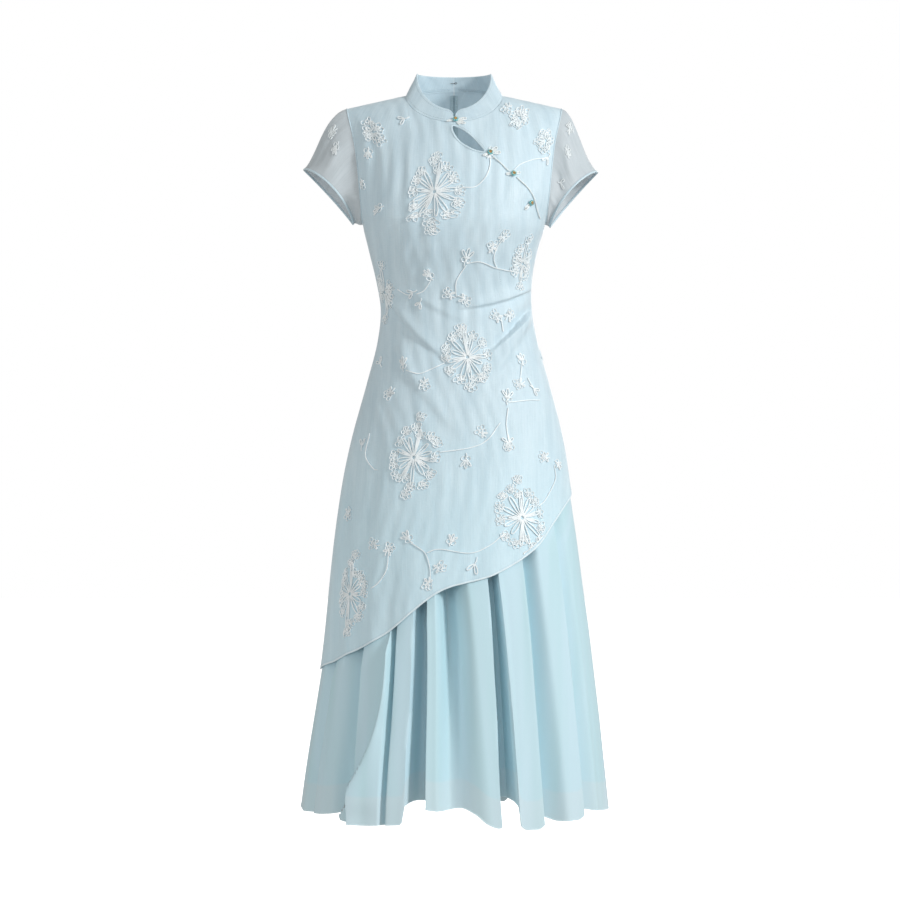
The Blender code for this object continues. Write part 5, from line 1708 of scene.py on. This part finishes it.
def set_roughness(tree, shader, value, low, high):
    """Gives the shader a roughness between low and high from a pattern."""
    out = add(tree, "ShaderNodeMapRange", _0=value, _1=0.3, _2=0.7, _3=low, _4=high)
    tree.links.new(out, shader.inputs["Roughness"])


def once(make):
    """Keeps the first material that a finish makes, one for each name it is given."""
    kept = {}

    def again(*names):
        if names not in kept:
            kept[names] = make(*names)
        return kept[names]

    return again


# Dark and light tints of the cloths.
ORGANZA = ((0.51, 0.655, 0.735), (0.66, 0.80, 0.875))
ORGANZA_BELOW = (0.61, 0.87, 0.98, 1)
CHIFFON = ((0.52, 0.735, 0.80), (0.57, 0.765, 0.85))
CHIFFON_BAND = (0.64, 0.71, 0.74, 1)
SHEER = ((0.58, 0.655, 0.695), (0.70, 0.765, 0.805))


@once
def finish_organza():
    """Slub organza over blue cloth: upright slubs of uneven threads, crossed by finer ones. It
    turns a little bluer from the hips down.
    """
    material, tree, shader = start_finish("slub organza", 0.52, sheen=0.25, sheen_roughness=0.35)
    shader.inputs["Subsurface Weight"].default_value = 0.25
    shader.inputs["Subsurface Radius"].default_value = (1.0, 1.0, 1.0)
    shader.inputs["Subsurface Scale"].default_value = 0.0025
    slubs = woven(tree, 760, 14, 4.0, 0.6)
    broad = woven(tree, 95, 7.0, 3.0)
    cross = woven(tree, 90, 900)
    clouds = woven(tree, 28, 11)
    pattern = total(tree, (0.30, slubs), (0.26, broad), (0.14, cross), (0.30, clouds))
    colour = blend(tree, pattern, *ORGANZA, 0.36, 0.64)
    low = fade(tree, object_place(tree), 2, -0.45, -0.72, 0.35)
    set_colour(tree, shader, mix(tree, low, colour, ORGANZA_BELOW))
    set_roughness(tree, shader, broad, 0.40, 0.66)
    crumple = woven(tree, 70, 24, 3.0)
    set_bump(tree, shader, total(tree, (0.14, slubs), (0.05, cross), (1.0, crumple)), 0.34, 0.0022)
    return material


@once
def finish_chiffon():
    """Chiffon: fine crepe grain, two tints that run down the cloth, a sheer band at the hem."""
    material, tree, shader = start_finish("crepe chiffon", 0.66, sheen=0.35, sheen_roughness=0.30)
    grain = woven(tree, 1400, 1100)
    colour = blend(tree, woven(tree, 22, 1.6), *CHIFFON, 0.40, 0.62)
    fine = blend(tree, grain, (0.93, 0.93, 0.93), (1.0, 1.0, 1.0))
    colour = mix(tree, 1.0, colour, fine, "MULTIPLY")
    band = fade(tree, weave_map(tree), 1, HEM_BAND * 1.10, HEM_BAND * 0.96, 0.30)
    set_colour(tree, shader, mix(tree, band, colour, CHIFFON_BAND))
    set_roughness(tree, shader, grain, 0.58, 0.74)
    set_bump(tree, shader, grain, 0.20, 0.0004)
    return material


@once
def finish_sheer():
    """Sheer organza of the sleeves: see-through, with upright threads and a cloudy sheen."""
    material, tree, shader = start_finish("sheer organza", 0.55, sheen=0.35, alpha=0.74)
    threads = woven(tree, 900, 14, 3.0)
    cross = woven(tree, 30, 900)
    clouds = noise(tree, object_place(tree), 14.0, 2.0)
    pattern = total(tree, (0.5, threads), (0.2, cross), (0.3, clouds))
    set_colour(tree, shader, blend(tree, pattern, *SHEER, 0.38, 0.62))
    set_roughness(tree, shader, threads, 0.48, 0.66)
    set_bump(tree, shader, total(tree, (0.6, threads), (0.4, cross)), 0.3, 0.0005)
    return material


# Plain finishes. Each has its shader's settings and a grain: how many to a metre, or three numbers
# where it is drawn out, and how fine. A second grain may be mixed in: its share, how many to a
# metre, how fine. Then the dark and light tints with the range of grain between them, the lowest
# and highest roughness, and the bump's strength and depth.
SATIN = {"shader": {"roughness": 0.42, "sheen": 0.3}, "grain": (700, 3.0), "rough": (0.36, 0.54),
         "bump": (0.25, 0.0004)}
SILK = {"shader": {"roughness": 0.42, "sheen": 0.35}, "grain": (1300, 3.0),
        "second": (0.4, 60, 2.0), "rough": (0.36, 0.55), "bump": (0.35, 0.0003)}
METAL = {"grain": ((2500.0, 900.0, 500.0), 3.0), "second": (0.5, 500, 3.0),
         "rough": (0.26, 0.46), "bump": (0.15, 0.0002)}
FINISHES = {
    "chiffon rolled edge": {
        "shader": {"roughness": 0.62, "sheen": 0.3}, "grain": (900, 2.0),
        "tints": ((0.58, 0.75, 0.81), (0.72, 0.86, 0.90)), "bump": (0.3, 0.0004)},
    "binding satin": {**SATIN, "tints": ((0.52, 0.66, 0.73), (0.64, 0.78, 0.85))},
    # A paler copy of the binding satin for the overlay's rolled hem: its extra lightness is a
    # painted highlight, so the edge reads as a lit line.
    "binding satin painted lit": {**SATIN, "tints": ((0.66, 0.80, 0.86), (0.80, 0.91, 0.95))},
    "white silk cord": {
        "shader": {"roughness": 0.40, "sheen": 0.4}, "grain": ((1800.0, 300.0, 500.0), 3.0),
        "slant": 0.8, "tints": ((0.74, 0.82, 0.84), (0.92, 0.95, 0.95)), "rough": (0.34, 0.52),
        "bump": (0.4, 0.0003)},
    "white silk thread": {**SILK, "tints": ((0.76, 0.86, 0.90), (0.95, 0.98, 0.99))},
    "pale silk thread": {**SILK, "tints": ((0.70, 0.76, 0.78), (0.80, 0.85, 0.87))},
    "blue sewing thread": {
        "shader": {"roughness": 0.55}, "grain": (1500, 2.0),
        "tints": ((0.40, 0.52, 0.58), (0.56, 0.68, 0.74)), "bump": (0.3, 0.0003)},
    "turquoise glaze": {
        "shader": {"roughness": 0.22, "coat": 0.6, "specular": 0.5}, "grain": (700, 3.0),
        "tints": ((0.06, 0.33, 0.37), (0.27, 0.66, 0.67), 0.36, 0.62), "rough": (0.18, 0.34),
        "bump": (0.2, 0.0003)},
    "amber gilt": {
        "shader": {"roughness": 0.30, "metallic": 0.55, "coat": 0.2}, "grain": (900, 2.0),
        "tints": ((0.42, 0.14, 0.03), (0.86, 0.56, 0.18), 0.36, 0.62), "rough": (0.24, 0.42)},
    "woven zip tape": {
        "shader": {"roughness": 0.7, "sheen": 0.2}, "grain": ((300.0, 300.0, 1800.0), 2.0),
        "tints": ((0.40, 0.56, 0.62), (0.56, 0.70, 0.76)), "bump": (0.4, 0.0004)},
    "pale enamelled metal": {
        **METAL, "shader": {"roughness": 0.34, "metallic": 0.6, "coat": 0.2},
        "tints": ((0.30, 0.44, 0.50), (0.62, 0.74, 0.78))},
    "dark hook metal": {
        **METAL, "shader": {"roughness": 0.34, "metallic": 0.9, "coat": 0.2},
        "tints": ((0.035, 0.036, 0.04), (0.14, 0.14, 0.15))},
}


@once
def finish(name):
    """A plain finish from the table, whose grain sets its colour, its roughness and its bump."""
    look = FINISHES[name]
    material, tree, shader = start_finish(name, **look["shader"])
    scale, detail = look["grain"]
    place = object_place(tree)
    if isinstance(scale, tuple):
        place = add(tree, "ShaderNodeMapping", Vector=place, Scale=scale,
                    Rotation=(0.0, look.get("slant", 0.0), 0.0))
        scale = 1.0
    grain = noise(tree, place, scale, detail)
    pattern = grain
    if "second" in look:
        share, scale, detail = look["second"]
        second = noise(tree, object_place(tree), scale, detail)
        pattern = total(tree, (1 - share, grain), (share, second))
    set_colour(tree, shader, blend(tree, pattern, *look["tints"]))
    if "rough" in look:
        set_roughness(tree, shader, grain, *look["rough"])
    if "bump" in look:
        set_bump(tree, shader, grain, *look["bump"])
    return material


def finish_nodes():
    """The small CAD parts whose shapes stay: zip slider, bail, pull, hook and eye."""
    for name in ("zip_slider", "zip_bail", "zip_pull", "hook", "eye"):
        metal = "pale enamelled metal" if name.startswith("zip") else "dark hook metal"
        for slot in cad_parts[name].material_slots:
            slot.material = finish(metal)


# Floor, lights and camera.

FLOOR = -1.44
FLOOR_HALF = 12
CAMERA_PLACE = (-0.0064, -4.5, -0.5664)
# Round lamps: place, the point each faces, size across, power.
LIGHTS = {
    "key": ((3.7, -2.7, 1.4), (0, 0, -0.5), 1.1, 160),
    "left fill": ((-2.3, -1.9, -1.12), (0, 0, -0.95), 0.55, 11),
    "light through the cloth": ((0.02, -0.035, -0.085), (0.02, 0.1, -0.09), 0.07, 0.04),
    "front fill": ((-0.4, -4.2, 0.3), (0, 0, -0.6), 2.2, 9),
    "back fill": ((0.9, 3.9, 0.5), (0, 0, -0.5), 2.2, 36),
}


def make_floor():
    """A pale floor that glows a little, so that it takes shadows and stays near white."""
    far = FLOOR_HALF
    mesh = bpy.data.meshes.new("floor")
    mesh.from_pydata([(-far, -far, FLOOR), (far, -far, FLOOR), (far, far, FLOOR),
                      (-far, far, FLOOR)], [], [(0, 1, 2, 3)])
    floor = bpy.data.objects.new("floor", mesh)
    bpy.context.scene.collection.objects.link(floor)
    material, tree, shader = start_finish("pale floor", 0.8)
    soft = noise(tree, object_place(tree), 3.0, 2.0)
    set_colour(tree, shader, blend(tree, soft, (0.95, 0.95, 0.95), (0.97, 0.97, 0.97)))
    shader.inputs["Emission Color"].default_value = (1, 1, 1, 1)
    shader.inputs["Emission Strength"].default_value = 0.75
    mesh.materials.append(material)
    floor.visible_diffuse = False
    floor.visible_glossy = False


def area_light(name, place, target, size, power):
    """A round white lamp at a place that faces a target."""
    light = bpy.data.lights.new(name, "AREA")
    light.shape = "DISK"
    light.size = size
    light.energy = power
    lamp = bpy.data.objects.new(name, light)
    bpy.context.scene.collection.objects.link(lamp)
    lamp.location = place
    direction = np.array(target, float) - np.array(place, float)
    flat = math.hypot(direction[0], direction[1])
    lamp.rotation_euler = (math.atan2(flat, -direction[2]), 0,
                           math.atan2(direction[1], direction[0]) - math.pi / 2)
    return lamp


def light_the_scene():
    """A white surrounding that lights the dress less than it shows, and the lamps."""
    world = bpy.data.worlds.new("studio")
    bpy.context.scene.world = world
    world.use_nodes = True
    tree = world.node_tree
    seen = tree.nodes["Background"]
    seen.inputs[0].default_value = (1, 1, 1, 1)
    seen.inputs[1].default_value = 1.0
    fill = tree.nodes.new("ShaderNodeBackground")
    fill.inputs[0].default_value = (1.0, 0.985, 0.96, 1)
    fill.inputs[1].default_value = 0.48
    path = tree.nodes.new("ShaderNodeLightPath")
    choose = tree.nodes.new("ShaderNodeMixShader")
    tree.links.new(path.outputs["Is Camera Ray"], choose.inputs[0])
    tree.links.new(fill.outputs[0], choose.inputs[1])
    tree.links.new(seen.outputs[0], choose.inputs[2])
    tree.links.new(choose.outputs[0], tree.nodes["World Output"].inputs[0])
    lamps = {name: area_light(name, *numbers) for name, numbers in LIGHTS.items()}
    lamps["light through the cloth"].visible_camera = False


def make_camera():
    """The photo's camera: level, straight in front."""
    camera = bpy.data.cameras.new("camera")
    camera.lens = 112.5
    camera.sensor_width = 36
    camera.dof.use_dof = False
    viewer = bpy.data.objects.new("camera", camera)
    viewer.location = CAMERA_PLACE
    viewer.rotation_euler = (math.pi / 2, 0, 0)
    bpy.context.scene.collection.objects.link(viewer)
    bpy.context.scene.camera = viewer
    bpy.context.scene.view_settings.view_transform = "Standard"


# Sprigs of the sleeves: share down from the armhole, share round from the shoulder, kind, degrees
# turned, size.
SLEEVE_MOTIFS = {
    "sleeve_left": ((0.28, 0.10, "head", 200, 1.3), (0.42, 0.17, "bud", 250, 1.0),
                    (0.30, 0.86, "head", 300, 1.2), (0.55, 0.26, "leaf", 240, 0.9)),
    "sleeve_right": ((0.32, 0.10, "head", 250, 1.2), (0.40, 0.16, "bud", 280, 1.0),
                     (0.34, 0.84, "bud", 240, 1.1)),
}


def main():
    """Makes the stage and every piece of the dress."""
    make_camera()
    light_the_scene()
    make_floor()
    front = make_front()
    back_left = make_back("back_left", 1)
    back_right = make_back("back_right", -1)
    keyhole_line = make_keyhole_binding()
    make_overlay_hem()
    collars = [make_collar("collar_left", 1, front, back_left),
               make_collar("collar_right", -1, front, back_right)]
    for seed, (name, motifs) in enumerate(SLEEVE_MOTIFS.items()):
        back = back_left if SLEEVES[name][0] > 0 else back_right
        grid, away = make_sleeve(name, front, back)
        make_sleeve_embroidery(name, grid, away, motifs, 900 + 20 * seed)
    make_side_seams(make_skirt("skirt_front", FRONT, FRONT_FOLDS, FRONT_HEM))
    make_skirt("skirt_back", BACK, BACK_FOLDS, BACK_HEM)
    make_piping()
    make_buttons()
    make_embroidery("embroidery_front", FRONT, FRONT_BLOOMS, FRONT_SPRIGS, FRONT_VINES, 100)
    make_embroidery("embroidery_back", BACK, BACK_BLOOMS, BACK_SPRIGS, BACK_VINES, 300)
    make_stitches(keyhole_line, collars)
    make_zip(back_left)
    finish_nodes()


main()
